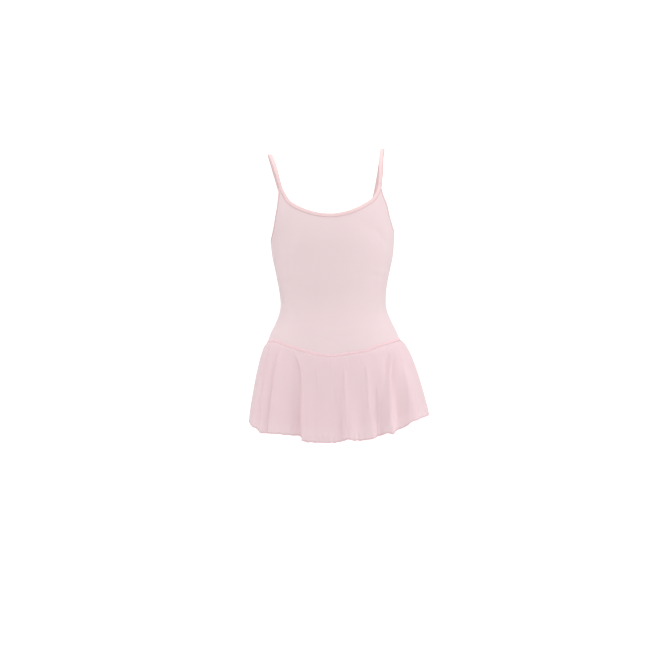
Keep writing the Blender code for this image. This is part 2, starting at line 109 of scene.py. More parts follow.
def listed(kind: type, *rows: Sequence) -> tuple:
    """Makes one named tuple of a kind from each row of its values."""
    return tuple(kind(*row) for row in rows)


BODY = table(
    "height left right front back",
    (-60, -116.0, 128.0, 61.0, 66.0), (-90, -113.5, 129.5, 71.5, 77.0),
    (-120, -111.5, 129.5, 80.0, 83.0), (-150, -108.7, 129.3, 84.5, 85.0),
    (-172, -105.5, 129.1, 85.5, 83.0), (-199, -102.8, 127.1, 83.0, 78.0),
    (-222, -98.0, 122.5, 80.0, 72.0), (-245, -93.3, 117.6, 77.5, 67.0),
    (-279, -87.6, 113.8, 74.0, 63.5), (-302, -87.6, 115.7, 74.5, 65.0),
    (-325, -95.2, 125.2, 78.0, 72.0), (-347, -106.0, 136.0, 83.0, 80.5),
    (-370, -113.0, 142.5, 87.0, 88.0), (-400, -115.5, 145.0, 90.0, 95.0),
    (-435, -116.0, 146.0, 91.0, 98.0),
)

WAIST_SEAM = table(
    "angle height",
    (-90, -364.5), (-66, -360.0), (-52, -368.0), (-30, -379.5), (-3, -386.5),
    (18, -382.0), (35, -378.0), (49, -368.5), (64, -361.5), (79, -357.5),
    (90, -357.0), (130, -361.0), (180, -367.0), (230, -366.0),
)

HEM = table(
    "angle height",
    (-90, -511.0), (-82, -517.0), (-76, -520.0), (-71.5, -523.5), (-69, -529.5),
    (-64, -531.5), (-57, -531.5), (-50, -532.0), (-44, -534.0), (-38.5, -535.5),
    (-35.5, -541.5), (-30, -545.0), (-18, -546.5), (-6, -546.5), (1, -545.0),
    (5.5, -542.5), (8, -540.5), (13, -542.0), (19, -542.8), (27, -541.5),
    (33, -538.5), (39, -534.5), (43, -530.0), (46.5, -531.0), (50, -526.5),
    (56, -523.5), (59, -519.0), (61.5, -511.5), (66, -505.5), (72, -503.5),
    (80, -502.5), (87, -498.5), (104, -495.0), (130, -512.0), (158, -526.0),
    (180, -531.0), (206, -531.0), (236, -522.0),
)


class Fold(NamedTuple):
    """A fold of the skirt: how far its crest stands out at the hem, a trough below zero."""

    angle: float
    out: float
    width: float
    start: float


FOLDS = listed(
    Fold,
    (-84, -1.5, 5.0, 0.10), (-74, 2.5, 5.0, 0.05), (-63, -4.0, 4.0, 0.00),
    (-53, 4.0, 6.0, 0.05), (-40, -7.0, 4.5, 0.05), (-30, 4.5, 5.0, 0.05),
    (-12, 1.5, 8.0, 0.20), (3, -3.0, 3.5, 0.25), (11, 4.0, 5.0, 0.15),
    (23, -2.0, 5.0, 0.30), (31, 2.5, 4.0, 0.10), (38.5, -6.0, 3.5, 0.25),
    (46, 8.0, 4.0, 0.00), (56, -9.0, 4.5, 0.05), (66, 6.0, 5.0, 0.00),
    (77, -3.0, 5.0, 0.15), (98, -7.0, 6.0, 0.10), (110, 6.0, 6.0, 0.05),
    (122, -9.0, 5.0, 0.00), (136, 7.0, 7.0, 0.15), (150, -8.0, 5.0, 0.10),
    (163, 6.0, 6.0, 0.05), (177, -10.0, 5.5, 0.00), (191, 8.0, 7.0, 0.10),
    (205, -7.0, 5.0, 0.20), (219, 6.0, 7.0, 0.05), (233, -9.0, 5.5, 0.05),
    (247, 6.0, 6.0, 0.15), (259, -6.0, 5.0, 0.00),
)


class Pleat(NamedTuple):
    """A sharp fold of the skirt, a ridge above zero and a groove below, with unlike sides.

    Its angle swings from the top's to the foot's, the sooner the higher the bend.
    """

    top: float
    foot: float
    bend: float
    start: float
    end: float
    left: float
    right: float
    out: float


PLEATS = listed(
    Pleat,
    (-71, -69.5, 1, 0.06, 1.10, 3.0, 1.3, -1.8), (-69.4, -67.9, 1, 0.06, 1.10, 1.3, 5.0, 1.3),
    (-59.5, -64, 1, 0.08, 1.20, 4.0, 1.3, -2.2), (-57.9, -62.4, 1, 0.08, 1.20, 1.3, 6.0, 2.2),
    (-50, -36.4, 8, 0.02, 1.20, 12.0, 1.5, -2.4), (-48, -34.9, 8, 0.02, 1.20, 1.5, 10.0, 1.8),
    (-22, -17, 1, 0.10, 0.45, 2.0, 5.0, 0.9), (-4, -1, 1, 0.30, 1.20, 9.0, 4.0, -0.8),
    (10, 5.6, 1, 0.12, 1.20, 1.6, 5.0, 1.9), (33, 28, 1, 0.10, 0.75, 2.0, 5.0, 1.6),
    (41, 38, 1, 0.35, 1.20, 1.6, 6.0, 1.8), (60, 43.5, 2, 0.00, 0.95, 3.4, 3.4, 5.0),
    (64, 48.0, 2, 0.05, 1.10, 3.0, 6.0, -2.4), (57, 40.0, 2, 0.10, 1.10, 4.0, 3.0, -1.6),
    (67.5, 58.5, 1.2, 0.02, 0.60, 1.4, 3.0, 0.9), (68, 60.5, 1.2, 0.30, 1.20, 2.0, 9.0, 1.6),
    (118, 124, 2, 0.05, 1.20, 2.0, 8.0, 1.8), (152, 147, 1, 0.08, 0.90, 5.0, 1.6, -1.6),
    (172, 169, 2, 0.04, 1.20, 1.6, 6.0, 1.5), (196, 199, 1, 0.10, 1.20, 6.0, 1.8, 1.7),
    (214, 209, 2, 0.06, 0.80, 1.6, 5.0, -1.4), (238, 231, 1, 0.03, 1.20, 2.0, 8.0, 1.8),
)


class Crease(NamedTuple):
    """A soft trough, or a ridge above zero: its middle, its half length and width, and its lean."""

    angle: float
    height: float
    length: float
    width: float
    lean: float
    out: float


CREASES = listed(
    Crease,
    (62, -238, 24, 4.5, -6, -0.9), (58, -228, 30, 6.0, -8, 0.6), (-58, -254, 22, 5.0, 8, -0.8),
    (-66, -244, 26, 6.0, 12, 0.6), (78, -292, 22, 4.0, 4, -1.0), (-80, -288, 24, 4.0, -5, -0.9),
    (70, -306, 18, 4.0, 10, -0.6), (-70, -304, 16, 4.0, -12, -0.7), (-62, -178, 46, 20.0, 62, -3.4),
    (48, -156, 34, 15.0, -35, -1.6), (-54, -176, 34, 7.0, 52, -1.1), (-46, -190, 40, 8.0, 48, 0.6),
    (60, -168, 26, 6.0, -50, -0.8), (-20, -352, 34, 7.0, -14, -0.5), (26, -348, 30, 7.0, 12, -0.5),
    (112, -286, 30, 4.5, -6, -1.1), (128, -274, 34, 5.0, -10, 0.7), (138, -298, 38, 5.0, 6, -1.0),
    (176, -282, 30, 5.0, 2, -0.9), (188, -300, 36, 5.5, -5, -1.1), (222, -290, 34, 4.5, 9, -1.0),
    (236, -276, 30, 5.0, 6, 0.7), (252, -296, 26, 4.0, -4, -0.9), (118, -188, 36, 7.0, 46, -0.9),
    (240, -196, 34, 7.0, -48, -0.9), (160, -340, 30, 6.0, 12, -0.6), (206, -336, 28, 6.0, -14, -0.6),
)
# Millimetres to a degree round the body, for the creases.
DEGREE_ROUND = 1.9

# The necklines as seen from the front and from the back: across, height.
NECK_FRONT = (
    (-84.0, -66.0), (-81.5, -73.0), (-76.0, -83.0), (-67.0, -96.5), (-47.5, -108.5),
    (-19.5, -118.0), (11.0, -121.0), (47.0, -113.5), (71.0, -102.0), (84.0, -93.5),
    (92.0, -83.5), (96.5, -74.0), (98.5, -66.0),
)
NECK_BACK = (
    (86.0, -102.0), (80.5, -117.0), (70.0, -140.0), (47.0, -168.0), (11.0, -182.0),
    (-24.0, -170.0), (-48.0, -144.0), (-60.5, -121.0), (-67.0, -106.0),
)
# The armholes, on the right side: angle, height.
ARMHOLE_RIGHT = (
    (66.0, -66.0), (65.9, -77.0), (66.2, -87.0), (68.4, -101.0), (73.0, -131.0),
    (80.0, -147.0), (90.0, -154.0), (101.0, -150.0), (110.5, -140.0), (119.0, -129.0),
    (125.6, -114.0), (128.6, -100.0),
)
ARMHOLE_LEFT = (
    (64.9, -66.0), (64.7, -80.0), (64.6, -95.0), (64.8, -110.0), (66.6, -126.0),
    (70.5, -148.0), (77.0, -163.0), (85.0, -172.0), (93.0, -175.0), (104.0, -169.0),
    (113.0, -154.0), (121.0, -136.0), (127.0, -118.0), (129.8, -104.0),
)
# The straps' middle lines, over the shoulders: across, depth, height.
STRAP_RIGHT = (
    (103.6, -36.0, -43.0), (104.6, -18.0, -14.0), (107.3, 5.0, 5.2),
    (106.5, 29.0, -6.0), (102.5, 47.0, -38.0), (96.0, 58.5, -74.0),
)
STRAP_LEFT = (
    (-94.0, -35.5, -42.0), (-101.3, -17.0, -18.0), (-107.3, 5.0, -5.6),
    (-105.0, 28.0, -15.0), (-96.5, 47.0, -45.0), (-85.5, 58.5, -80.0),
)

BRIEF_COLUMNS = "share depth middle half edge"
BRIEF_FRONT = table(
    BRIEF_COLUMNS,
    (0.00, 1.000, 0.00, 1.00, 0.00), (0.20, 1.000, 0.21, 1.00, 0.20), (0.42, 0.995, 0.44, 1.00, 0.42),
    (0.54, 0.960, 0.58, 0.90, 0.52), (0.66, 0.870, 0.72, 0.70, 0.66), (0.78, 0.710, 0.85, 0.48, 0.82),
    (0.90, 0.420, 0.965, 0.31, 0.955), (0.97, 0.140, 0.997, 0.265, 0.996), (1.00, 0.000, 1.00, 0.26, 1.00),
)
BRIEF_BACK = table(
    BRIEF_COLUMNS,
    (0.00, 1.000, 0.00, 1.00, 0.00), (0.20, 1.000, 0.21, 1.00, 0.20), (0.42, 1.000, 0.44, 1.00, 0.42),
    (0.54, 0.980, 0.58, 0.97, 0.55), (0.66, 0.920, 0.72, 0.86, 0.70), (0.78, 0.770, 0.85, 0.64, 0.85),
    (0.90, 0.470, 0.96, 0.37, 0.965), (0.97, 0.150, 0.996, 0.27, 0.997), (1.00, 0.000, 1.00, 0.26, 1.00),
)


class Turn(NamedTuple):
    """A corner of a band's cross-section: its share of the width, and how far out it lies."""

    across: float
    out: float


BAND_PROFILE = listed(
    Turn,
    (0.000, -0.35), (0.015, 0.10), (0.060, 0.42), (0.160, 0.60), (0.340, 0.66),
    (0.600, 0.64), (0.760, 0.56), (0.850, 0.28), (0.890, 0.02), (0.930, 0.26),
    (0.980, 0.20), (1.000, -0.10), (1.000, -0.75), (0.970, -1.10), (0.850, -1.25),
    (0.780, -1.10), (0.600, -1.35), (0.300, -1.35), (0.080, -1.20), (0.015, -0.85),
)
STITCH_ACROSS = 0.89


def smooth(places: Points, values: Points, at: Points) -> Points:
    """Reads the smooth curve through a table's values, held level past its ends.

    Args:
        places: Where the values stand, rising.
        values: One value for each place.
        at: The places to read.

    Returns:
        The curve's values there.
    """
    at = np.clip(at, places[0], places[-1])
    slopes = np.gradient(values, places)
    row = np.clip(np.searchsorted(places, at, side="right") - 1, 0, len(places) - 2)
    span = places[row + 1] - places[row]
    share = (at - places[row]) / span
    rest = 1 - share
    start = values[row] * (1 + 2 * share) * rest**2 + slopes[row] * span * share * rest**2
    end = values[row + 1] * (1 + 2 * rest) * share**2 - slopes[row + 1] * span * rest * share**2
    return start + end


def smooth_round(ring: Table, at: Points) -> Points:
    """Reads a smooth closed curve of angle and height at any angles."""
    angles, heights = ring["angle"], ring["height"]
    places = np.concatenate([angles[-2:] - ROUND, angles, angles[:2] + ROUND])
    values = np.concatenate([heights[-2:], heights, heights[:2]])
    return smooth(places, values, (at - angles[0]) % ROUND + angles[0])


def ease(share: Points) -> Points:
    """Rises from 0 to 1 with level ends."""
    share = np.clip(share, 0.0, 1.0)
    return share * share * (3 - 2 * share)


def unit(vectors: Points) -> Points:
    """The vectors, each one long."""
    return vectors / np.linalg.norm(vectors, axis=-1, keepdims=True)


def mix(first: Points, second: Points, share: Points) -> Points:
    """Goes from the first to the second by the share."""
    return first + (second - first) * share


def between(marks: Points, places: Points, rows: Points) -> Points:
    """Reads rows of values at marks between the rising places where they stand."""
    return np.stack([np.interp(marks, places, column) for column in rows.T], axis=-1)


def away_from(middle: Points, angle: Points) -> Points:
    """How far angles lie from a middle one, the shorter way round."""
    return (angle - middle + ROUND / 2) % ROUND - ROUND / 2


def bell(away: Points, width: Points) -> Points:
    """Falls from 1 in the middle towards 0 beyond the width."""
    return np.exp(-((away / width) ** 2))


class Waves(NamedTuple):
    """Uneven ripples round the body: how many of each kind go round, and the first one's phase."""

    counts: tuple[int, ...]
    phase: float

    def at(self, angle: Points) -> Points:
        """The ripples' height at each angle, between about -1 and 1."""
        turn = np.radians(angle)
        kinds = enumerate(self.counts, start=1)
        total = sum(np.sin(count * turn + self.phase * number) for number, count in kinds)
        return total / len(self.counts)


@dataclass(frozen=True)
class BodyForm:
    """The outer face of the worn body, from level sections."""

    squareness: float = 2.3

    def side(self, name: str, height: Points) -> Points:
        """Where one side of the section stands at each height."""
        return smooth(BODY["height"], BODY[name], height)

    def centre(self, height: Points) -> Points:
        """The middle of the section from left to right."""
        return (self.side("left", height) + self.side("right", height)) / 2

    def breadth(self, height: Points) -> Points:
        """Half the section's width."""
        return (self.side("right", height) - self.side("left", height)) / 2

    def depth(self, turn: Points, height: Points) -> Points:
        """The section's depth on the side that a turn in radians faces."""
        return np.where(np.cos(turn) > 0, self.side("front", height), self.side("back", height))

    def radius(self, turn: Points, breadth: Points, depth: Points, squareness: float) -> Points:
        """How far an outline lies from its centre at each turn.

        Args:
            turn: Turns from the front, in radians.
            breadth: Half the outline's width.
            depth: Its depth on that side.
            squareness: 2 for an ellipse, more for a squarer outline.

        Returns:
            The distance from the centre.
        """
        across = np.abs(np.sin(turn)) / breadth
        ahead = np.abs(np.cos(turn)) / depth
        return (across**squareness + ahead**squareness) ** (-1 / squareness)

    def face(self, angle: Points, height: Points) -> Points:
        """The points of the outer face at these angles and heights."""
        angle, height = np.broadcast_arrays(np.asarray(angle, float), np.asarray(height, float))
        turn = np.radians(angle)
        radius = self.radius(turn, self.breadth(height), self.depth(turn, height), self.squareness)
        x = self.centre(height) + radius * np.sin(turn)
        return np.stack([x, -radius * np.cos(turn), height], axis=-1)

    def normal(self, angle: Points, height: Points) -> Points:
        """The directions straight out of the outer face."""
        across = self.face(angle + 1, height) - self.face(angle - 1, height)
        up = self.face(angle, height + 1) - self.face(angle, height - 1)
        return unit(np.cross(across, up))

    def off(self, angle: Points, height: Points, out: Points) -> Points:
        """The points straight out from the outer face, or into it below zero."""
        return self.face(angle, height) + np.asarray(out)[..., None] * self.normal(angle, height)

    def place_of(self, points: Points, near: Points) -> Points:
        """The angle and height of points, each within half a turn of a nearby angle."""
        angle = np.degrees(np.arctan2(points[..., 0] - self.centre(points[..., 2]), -points[..., 1]))
        angle = angle + ROUND * np.round((near - angle) / ROUND)
        return np.stack([angle, points[..., 2]], axis=-1)

    def creased(self, places: Points) -> Points:
        """The outer face with its soft creases.

        Args:
            places: Angles and heights, in the last axis.

        Returns:
            The points there, moved out or in by the creases.
        """
        angle, height = places[..., 0], places[..., 1]
        out = np.zeros(angle.shape)
        for crease in CREASES:
            away = away_from(crease.angle, angle) * DEGREE_ROUND
            up = height - crease.height
            lean = math.radians(crease.lean)
            along = away * math.cos(lean) + up * math.sin(lean)
            aside = up * math.cos(lean) - away * math.sin(lean)
            out += crease.out * np.exp(-((along / crease.length) ** 2) - (aside / crease.width) ** 2)
        return self.off(angle, height, out)


FORM = BodyForm()


def waist_seam(angle: Points) -> Points:
    """The height of the waist seam at each angle."""
    return smooth_round(WAIST_SEAM, angle)


def lengths_along(points: Points) -> Points:
    """How far along a line each of its points lies."""
    steps = np.linalg.norm(np.diff(points, axis=0), axis=1)
    return np.concatenate([[0], np.cumsum(steps)])


def evenly(line: Points, lengths: Points, count: int = LINE_POINTS) -> Points:
    """A line's points spaced evenly by the lengths along it."""
    marks = np.linspace(0, lengths[-1], count)
    return between(marks, lengths, line)


def curve_through(rows: Rows) -> Points:
    """Points evenly spaced along the smooth curve through the rows."""
    rows = np.array(rows, float)
    along = lengths_along(rows)
    marks = np.linspace(0, along[-1], LINE_POINTS)
    curve = np.stack([smooth(along, column, marks) for column in rows.T], axis=1)
    return evenly(curve, lengths_along(curve))


def edge_line(rows: Rows) -> Points:
    """The edge through rows of angle and height, evenly spaced on the body."""
    curve = curve_through(rows)
    return evenly(curve, lengths_along(FORM.face(curve[:, 0], curve[:, 1])))


def neck_edge(places: Rows, face: Face) -> Points:
    """A neckline as an edge line.

    Args:
        places: Its points as seen from the front or the back.
        face: The half of the garment that it is on.

    Returns:
        Angles and heights along it.
    """
    rows = []
    for x, height in places:
        aside = x - FORM.centre(height)
        arch = 1 - abs(aside / FORM.breadth(height)) ** FORM.squareness
        ahead = FORM.side(face.value, height) * arch ** (1 / FORM.squareness)
        rows.append((math.degrees(math.atan2(aside, face.facing * ahead)) % ROUND, height))
    if face is Face.FRONT:
        rows = [(angle - ROUND if angle > 2 * SIDE else angle, height) for angle, height in rows]
    return edge_line(rows)


def armhole_edge(rows: Rows, right: bool) -> Points:
    """An armhole as an edge line: the left one runs from the back to the front."""
    if right:
        return edge_line(rows)
    return edge_line([(ROUND - angle, height) for angle, height in reversed(rows)])


def inset(line: Points, width: float) -> Points:
    """The line moved into its cloth by the width, point by point."""
    points = FORM.face(line[:, 0], line[:, 1])
    into = unit(np.cross(np.gradient(points, axis=0), FORM.normal(line[:, 0], line[:, 1])))
    return FORM.place_of(points + width * into, line[:, 0])


def crossing(line: Points, other: Points) -> float:
    """The row number, with its share, at which the line first meets the other.

    Args:
        line: Angles and heights along the line.
        other: Angles and heights along the other.

    Returns:
        The row number on the line.
    """
    step, way = np.diff(line, axis=0)[:, None], np.diff(other, axis=0)[None]
    reach = other[None, :-1] - line[:-1, None]
    lean = step[..., 0] * way[..., 1] - step[..., 1] * way[..., 0]
    lean = np.where(lean == 0, np.inf, lean)
    share = (reach[..., 0] * way[..., 1] - reach[..., 1] * way[..., 0]) / lean
    far = (reach[..., 0] * step[..., 1] - reach[..., 1] * step[..., 0]) / lean
    met = (share >= 0) & (share <= 1) & (far >= 0) & (far <= 1) & np.isfinite(lean)
    rows, columns = np.nonzero(met)
    return float(rows[0] + share[rows[0], columns[0]])


def at_rows(line: Points, rows: Points) -> Points:
    """The line's places at these row numbers."""
    return between(rows, np.arange(len(line)), line)


def turned(line: Points, angle: float) -> Points:
    """The line with its angles moved on."""
    return line + np.array([angle, 0.0])


@dataclass(frozen=True)
class Opening:
    """An opening's finished edge, and the lines inside it where its band ends and the panel tucks in."""

    line: Points
    bound: Points
    tucked: Points

    @classmethod
    def along(cls, line: Points, width: float, tuck: float) -> "Opening":
        """An opening with a band of this width, whose panel reaches under the band."""
        return cls(line, inset(line, width), inset(line, width - tuck))

    def turned(self, angle: float) -> "Opening":
        """The same opening with its angles moved on."""
        return Opening(*(turned(line, angle) for line in (self.line, self.bound, self.tucked)))


def select_only(piece: bpy.types.Object) -> None:
    """Selects one object and makes it the active one."""
    bpy.ops.object.select_all(action="DESELECT")
    piece.select_set(True)
    bpy.context.view_layer.objects.active = piece


def apply_modifiers(piece: bpy.types.Object) -> None:
    """Applies all of a piece's modifiers, in order."""
    select_only(piece)
    for modifier in list(piece.modifiers):
        bpy.ops.object.modifier_apply(modifier=modifier.name)


def placed(name: str, data: bpy.types.ID) -> bpy.types.Object:
    """Puts new data into the scene as an object."""
    thing = bpy.data.objects.new(name, data)
    bpy.context.scene.collection.objects.link(thing)
    return thing


def new_piece(name: str, points: Points, faces: list[Sequence[int]]) -> bpy.types.Object:
    """Makes a smooth mesh from points, in millimetres, and the faces between them."""
    mesh = bpy.data.meshes.new(name)
    mesh.from_pydata((points.reshape(-1, 3) * MM).tolist(), [], faces)
    mesh.shade_smooth()
    return placed(name, mesh)


def spread(points: Points, axis: int, wrap: bool) -> Points:
    """Mean distances along one axis of a grid of points, added up, in metres.

    Args:
        points: Rows of columns of points, in millimetres.
        axis: 0 to go along the rows, 1 along the columns.
        wrap: Whether the last point joins the first.

    Returns:
        One length for each row or column, and one more at the end where the grid wraps.
    """
    if wrap:
        points = np.concatenate([points, np.take(points, [0], axis=axis)], axis=axis)
    steps = np.linalg.norm(np.diff(points, axis=axis), axis=2).mean(axis=1 - axis)
    return np.concatenate([[0], np.cumsum(steps)]) * MM


def grid_piece(name: str, points: Points, around: bool = False, along: bool = False) -> bpy.types.Object:
    """Makes a smooth mesh from a grid of points, with a map of its true lengths.

    Args:
        name: The piece's name.
        points: Rows of columns of points, in millimetres.
        around: Whether each row closes on itself.
        along: Whether the last row joins the first.

    Returns:
        The new object.
    """
    rows, columns = points.shape[:2]
    index = np.arange(rows * columns).reshape(rows, columns)
    lower = index if along else index[:-1]
    upper = np.roll(index, -1, axis=0) if along else index[1:]
    if around:
        corners = [lower, np.roll(lower, -1, axis=1), np.roll(upper, -1, axis=1), upper]
    else:
        corners = [lower[:, :-1], lower[:, 1:], upper[:, 1:], upper[:, :-1]]
    piece = new_piece(name, points, np.stack(corners, axis=-1).reshape(-1, 4).tolist())
    across, up = np.meshgrid(spread(points, 1, around), spread(points, 0, along))
    flat = np.stack([across, up], axis=-1)
    flat = np.stack([flat[:-1, :-1], flat[:-1, 1:], flat[1:, 1:], flat[1:, :-1]], axis=2)
    layer = piece.data.uv_layers.new(name="lengths")
    layer.data.foreach_set("uv", flat.reshape(-1).astype(np.float32))
    return piece


def close_ends(piece: bpy.types.Object) -> None:
    """Closes a tube's open ends and turns its faces outwards."""
    shell = bmesh.new()
    shell.from_mesh(piece.data)
    bmesh.ops.holes_fill(shell, edges=[edge for edge in shell.edges if edge.is_boundary])
    bmesh.ops.recalc_face_normals(shell, faces=shell.faces)
    shell.to_mesh(piece.data)
    shell.free()


def sheet_piece(name: str, points: Points, wall: float, around: bool = False) -> bpy.types.Object:
    """Makes a sheet of cloth whose outer face is the grid and whose wall lies inside it.

    Args:
        name: The piece's name.
        points: Rows of columns of points, in millimetres, seen from outside.
        wall: The cloth's thickness.
        around: Whether each row closes on itself.

    Returns:
        The new object.
    """
    piece = grid_piece(name, points, around=around)
    thickness = piece.modifiers.new("Wall", "SOLIDIFY")
    thickness.thickness = wall * MM
    thickness.offset = -1
    apply_modifiers(piece)
    return piece


def tube_piece(name: str, rings: Points, closed: bool = False) -> bpy.types.Object:
    """Makes a closed tube through rings of points.

    Args:
        name: The piece's name.
        rings: Rings of points, in millimetres.
        closed: Whether the last ring joins the first.

    Returns:
        The new object.
    """
    piece = grid_piece(name, rings, around=True, along=closed)
    close_ends(piece)
    return piece


def way_round(path: Points) -> Points:
    """The directions along a closed line."""
    return unit(np.roll(path, -1, axis=0) - np.roll(path, 1, axis=0))


def roll_rings(path: Points, ahead: Points, rise: Points, out: Points, up: Points) -> Points:
    """Cross-sections of a roll along a path.

    Args:
        path: Points along its middle.
        ahead: How far each point of each ring lies out from the middle.
        rise: How far it lies above it.
        out: The directions out.
        up: The directions up.

    Returns:
        One ring of points for each point along the path.
    """
    return path[:, None] + ahead * out[:, None] + rise * up[:, None]


def band_rings(edge: Points, inner: Points, out: Points, thickness: float = 1.0) -> Points:
    """Cross-sections of a folded band that lies on cloth.

    Args:
        edge: Points along its folded edge.
        inner: Points along its sewn edge.
        out: Directions out of the cloth.
        thickness: A share of the full band's thickness.

    Returns:
        One ring of points for each point along the band.
    """
    rings = [mix(edge, inner, turn.across) + turn.out * thickness * out for turn in BAND_PROFILE]
    return np.stack(rings, axis=1)


def lowest_first(corners: Sequence[int]) -> tuple[int, ...]:
    """A face's corners from the lowest on, so that every run gives the same mesh."""
    corners = tuple(corners)
    start = corners.index(min(corners))
    return corners[start:] + corners[:start]


@dataclass(frozen=True)
class Thread:
    """Sewing thread, laid in rows of separate stitches."""

    length: float = 2.4
    gap: float = 0.5
    radius: float = 0.34
    sides: int = 6
    bands: int = 5

    def grain(self) -> tuple[Points, list[tuple[int, ...]]]:
        """Models one stitch as a slim rounded grain, one long and lying along X.

        Returns:
            Its points and its faces.
        """
        bpy.ops.object.select_all(action="DESELECT")
        bpy.ops.mesh.primitive_uv_sphere_add(segments=self.sides, ring_count=self.bands, radius=0.5)
        grain = bpy.context.object
        bpy.ops.object.mode_set(mode="EDIT")
        bpy.ops.mesh.select_all(action="SELECT")
        bpy.ops.transform.resize(value=(2 * self.radius, 2 * self.radius, self.length))
        bpy.ops.object.mode_set(mode="OBJECT")
        points = np.array([point.co for point in grain.data.vertices], float)
        faces = sorted(lowest_first(face.vertices) for face in grain.data.polygons)
        bpy.data.objects.remove(grain)
        return points[:, [2, 0, 1]], faces

    def row(self, name: str, path: Points, out: Points) -> bpy.types.Object:
        """Sews a row of stitches along a path.

        Args:
            name: The row's name.
            path: Points along it, on the cloth, in millimetres.
            out: Directions out of the cloth there.

        Returns:
            The row as one joined piece.
        """
        along = lengths_along(path)
        count = max(int(along[-1] / (self.length + self.gap)), 1)
        marks = (np.arange(count) + 0.5) * along[-1] / count
        middle = between(marks, along, path)
        normal = unit(between(marks, along, out))
        way = unit(between(marks, along, np.gradient(path, axis=0)))
        aside = unit(np.cross(normal, way))
        grain, faces = self.grain()
        frames = np.stack([way, aside, np.cross(way, aside)], axis=1)
        points = middle[:, None] + np.einsum("pk,skx->spx", grain, frames)
        starts = range(0, count * len(grain), len(grain))
        every = [tuple(corner + start for corner in face) for start in starts for face in faces]
        return new_piece(name, points, every)


class Wiring:
    """Adds nodes to one node tree and joins them."""

    def __init__(self, tree: bpy.types.NodeTree) -> None:
        """Keeps the tree."""
        self.tree = tree

    def node(self, kind: str, inputs: dict | None = None, **settings: object) -> bpy.types.Node:
        """Adds a node.

        Args:
            kind: Its type.
            inputs: Values or sockets for its inputs, by name or number.
            settings: Its other settings.

        Returns:
            The node.
        """
        node = self.tree.nodes.new(kind)
        for name, value in settings.items():
            setattr(node, name, value)
        self.fill(node, inputs or {})
        return node

    def fill(self, node: bpy.types.Node, inputs: dict) -> None:
        """Gives a node's inputs their values, or joins them to outputs."""
        for name, value in inputs.items():
            if isinstance(value, bpy.types.NodeSocket):
                self.tree.links.new(value, node.inputs[name])
            else:
                node.inputs[name].default_value = value

    def math(self, operation: str, *values: object) -> bpy.types.NodeSocket:
        """Adds a Math node and gives back its output."""
        return self.node("ShaderNodeMath", dict(enumerate(values)), operation=operation).outputs[0]


def new_group(
    name: str, inputs: dict[str, str], outputs: dict[str, str]
) -> tuple[Wiring, dict, bpy.types.Node]:
    """Starts a node group.

    Args:
        name: The group's name.
        inputs: The kind of each input socket, by name.
        outputs: The kind of each output socket, by name.

    Returns:
        The group's wiring, its inputs' sockets by name, and its output node.
    """
    group = bpy.data.node_groups.new(name, "ShaderNodeTree")
    for way, sockets in (("INPUT", inputs), ("OUTPUT", outputs)):
        for label, kind in sockets.items():
            group.interface.new_socket(label, in_out=way, socket_type=kind)
    wiring = Wiring(group)
    source = wiring.node("NodeGroupInput")
    return wiring, {label: source.outputs[label] for label in inputs}, wiring.node("NodeGroupOutput")


# The legs of the knit's loops, and the noise of its dye and its fuzz.
LEG_LEAN = 1.1
LEG_FOOT = 0.45
BROAD_NOISE = {"Scale": 14.0, "Detail": 3.0}
FINE_NOISE = {"Scale": 900.0, "Detail": 4.0}
FINE_SHARE = 0.35


def knit_group() -> bpy.types.NodeTree:
    """Rows of knitted loops on a map of true lengths: two leaning legs to each loop.

    Returns:
        The group, whose Height is 1 on top of a leg and 0 in the gaps.
    """
    wiring, given, result = new_group(
        "knit_loops",
        {"Lengths": "NodeSocketVector", "Loops Across": "NodeSocketFloat", "Loops Up": "NodeSocketFloat"},
        {"Height": "NodeSocketFloat"},
    )
    parts = wiring.node("ShaderNodeSeparateXYZ", {"Vector": given["Lengths"]})
    across = wiring.math("FRACT", wiring.math("MULTIPLY", parts.outputs["X"], given["Loops Across"]))
    aside = wiring.math("ABSOLUTE", wiring.math("SUBTRACT", across, 0.5))
    up = wiring.math("MULTIPLY", parts.outputs["Y"], given["Loops Up"])
    lean = wiring.math("MULTIPLY_ADD", aside, LEG_LEAN, up)
    wave = wiring.math("SINE", wiring.math("MULTIPLY", lean, math.tau))
    loop = wiring.math("MULTIPLY_ADD", wave, 0.5, 0.5)
    leg = wiring.math("SUBTRACT", wiring.math("MULTIPLY", aside, 4.0), 1.0)
    leg = wiring.math("SUBTRACT", 1.0, wiring.math("MULTIPLY", leg, leg))
    height = wiring.math("MULTIPLY", leg, wiring.math("MULTIPLY_ADD", loop, 1 - LEG_FOOT, LEG_FOOT))
    wiring.fill(result, {"Height": height})
    return wiring.tree


def mottle_group() -> bpy.types.NodeTree:
    """Broad, faint unevenness of the dye, and the fine fuzz of the yarn.

    Returns:
        The group, whose Shade is near 1 and whose Fuzz is between 0 and 1.
    """
    wiring, given, result = new_group(
        "dye_and_fuzz",
        {"Place": "NodeSocketVector", "Unevenness": "NodeSocketFloat"},
        {"Shade": "NodeSocketFloat", "Fuzz": "NodeSocketFloat"},
    )
    broad = wiring.node("ShaderNodeTexNoise", {"Vector": given["Place"], **BROAD_NOISE})
    fine = wiring.node("ShaderNodeTexNoise", {"Vector": given["Place"], **FINE_NOISE})
    centred = wiring.math("SUBTRACT", broad.outputs["Fac"], 0.5)
    grain = wiring.math("MULTIPLY", wiring.math("SUBTRACT", fine.outputs["Fac"], 0.5), FINE_SHARE)
    shade = wiring.math("MULTIPLY_ADD", wiring.math("ADD", centred, grain), given["Unevenness"], 1.0)
    wiring.fill(result, {"Shade": shade, "Fuzz": fine.outputs["Fac"]})
    return wiring.tree


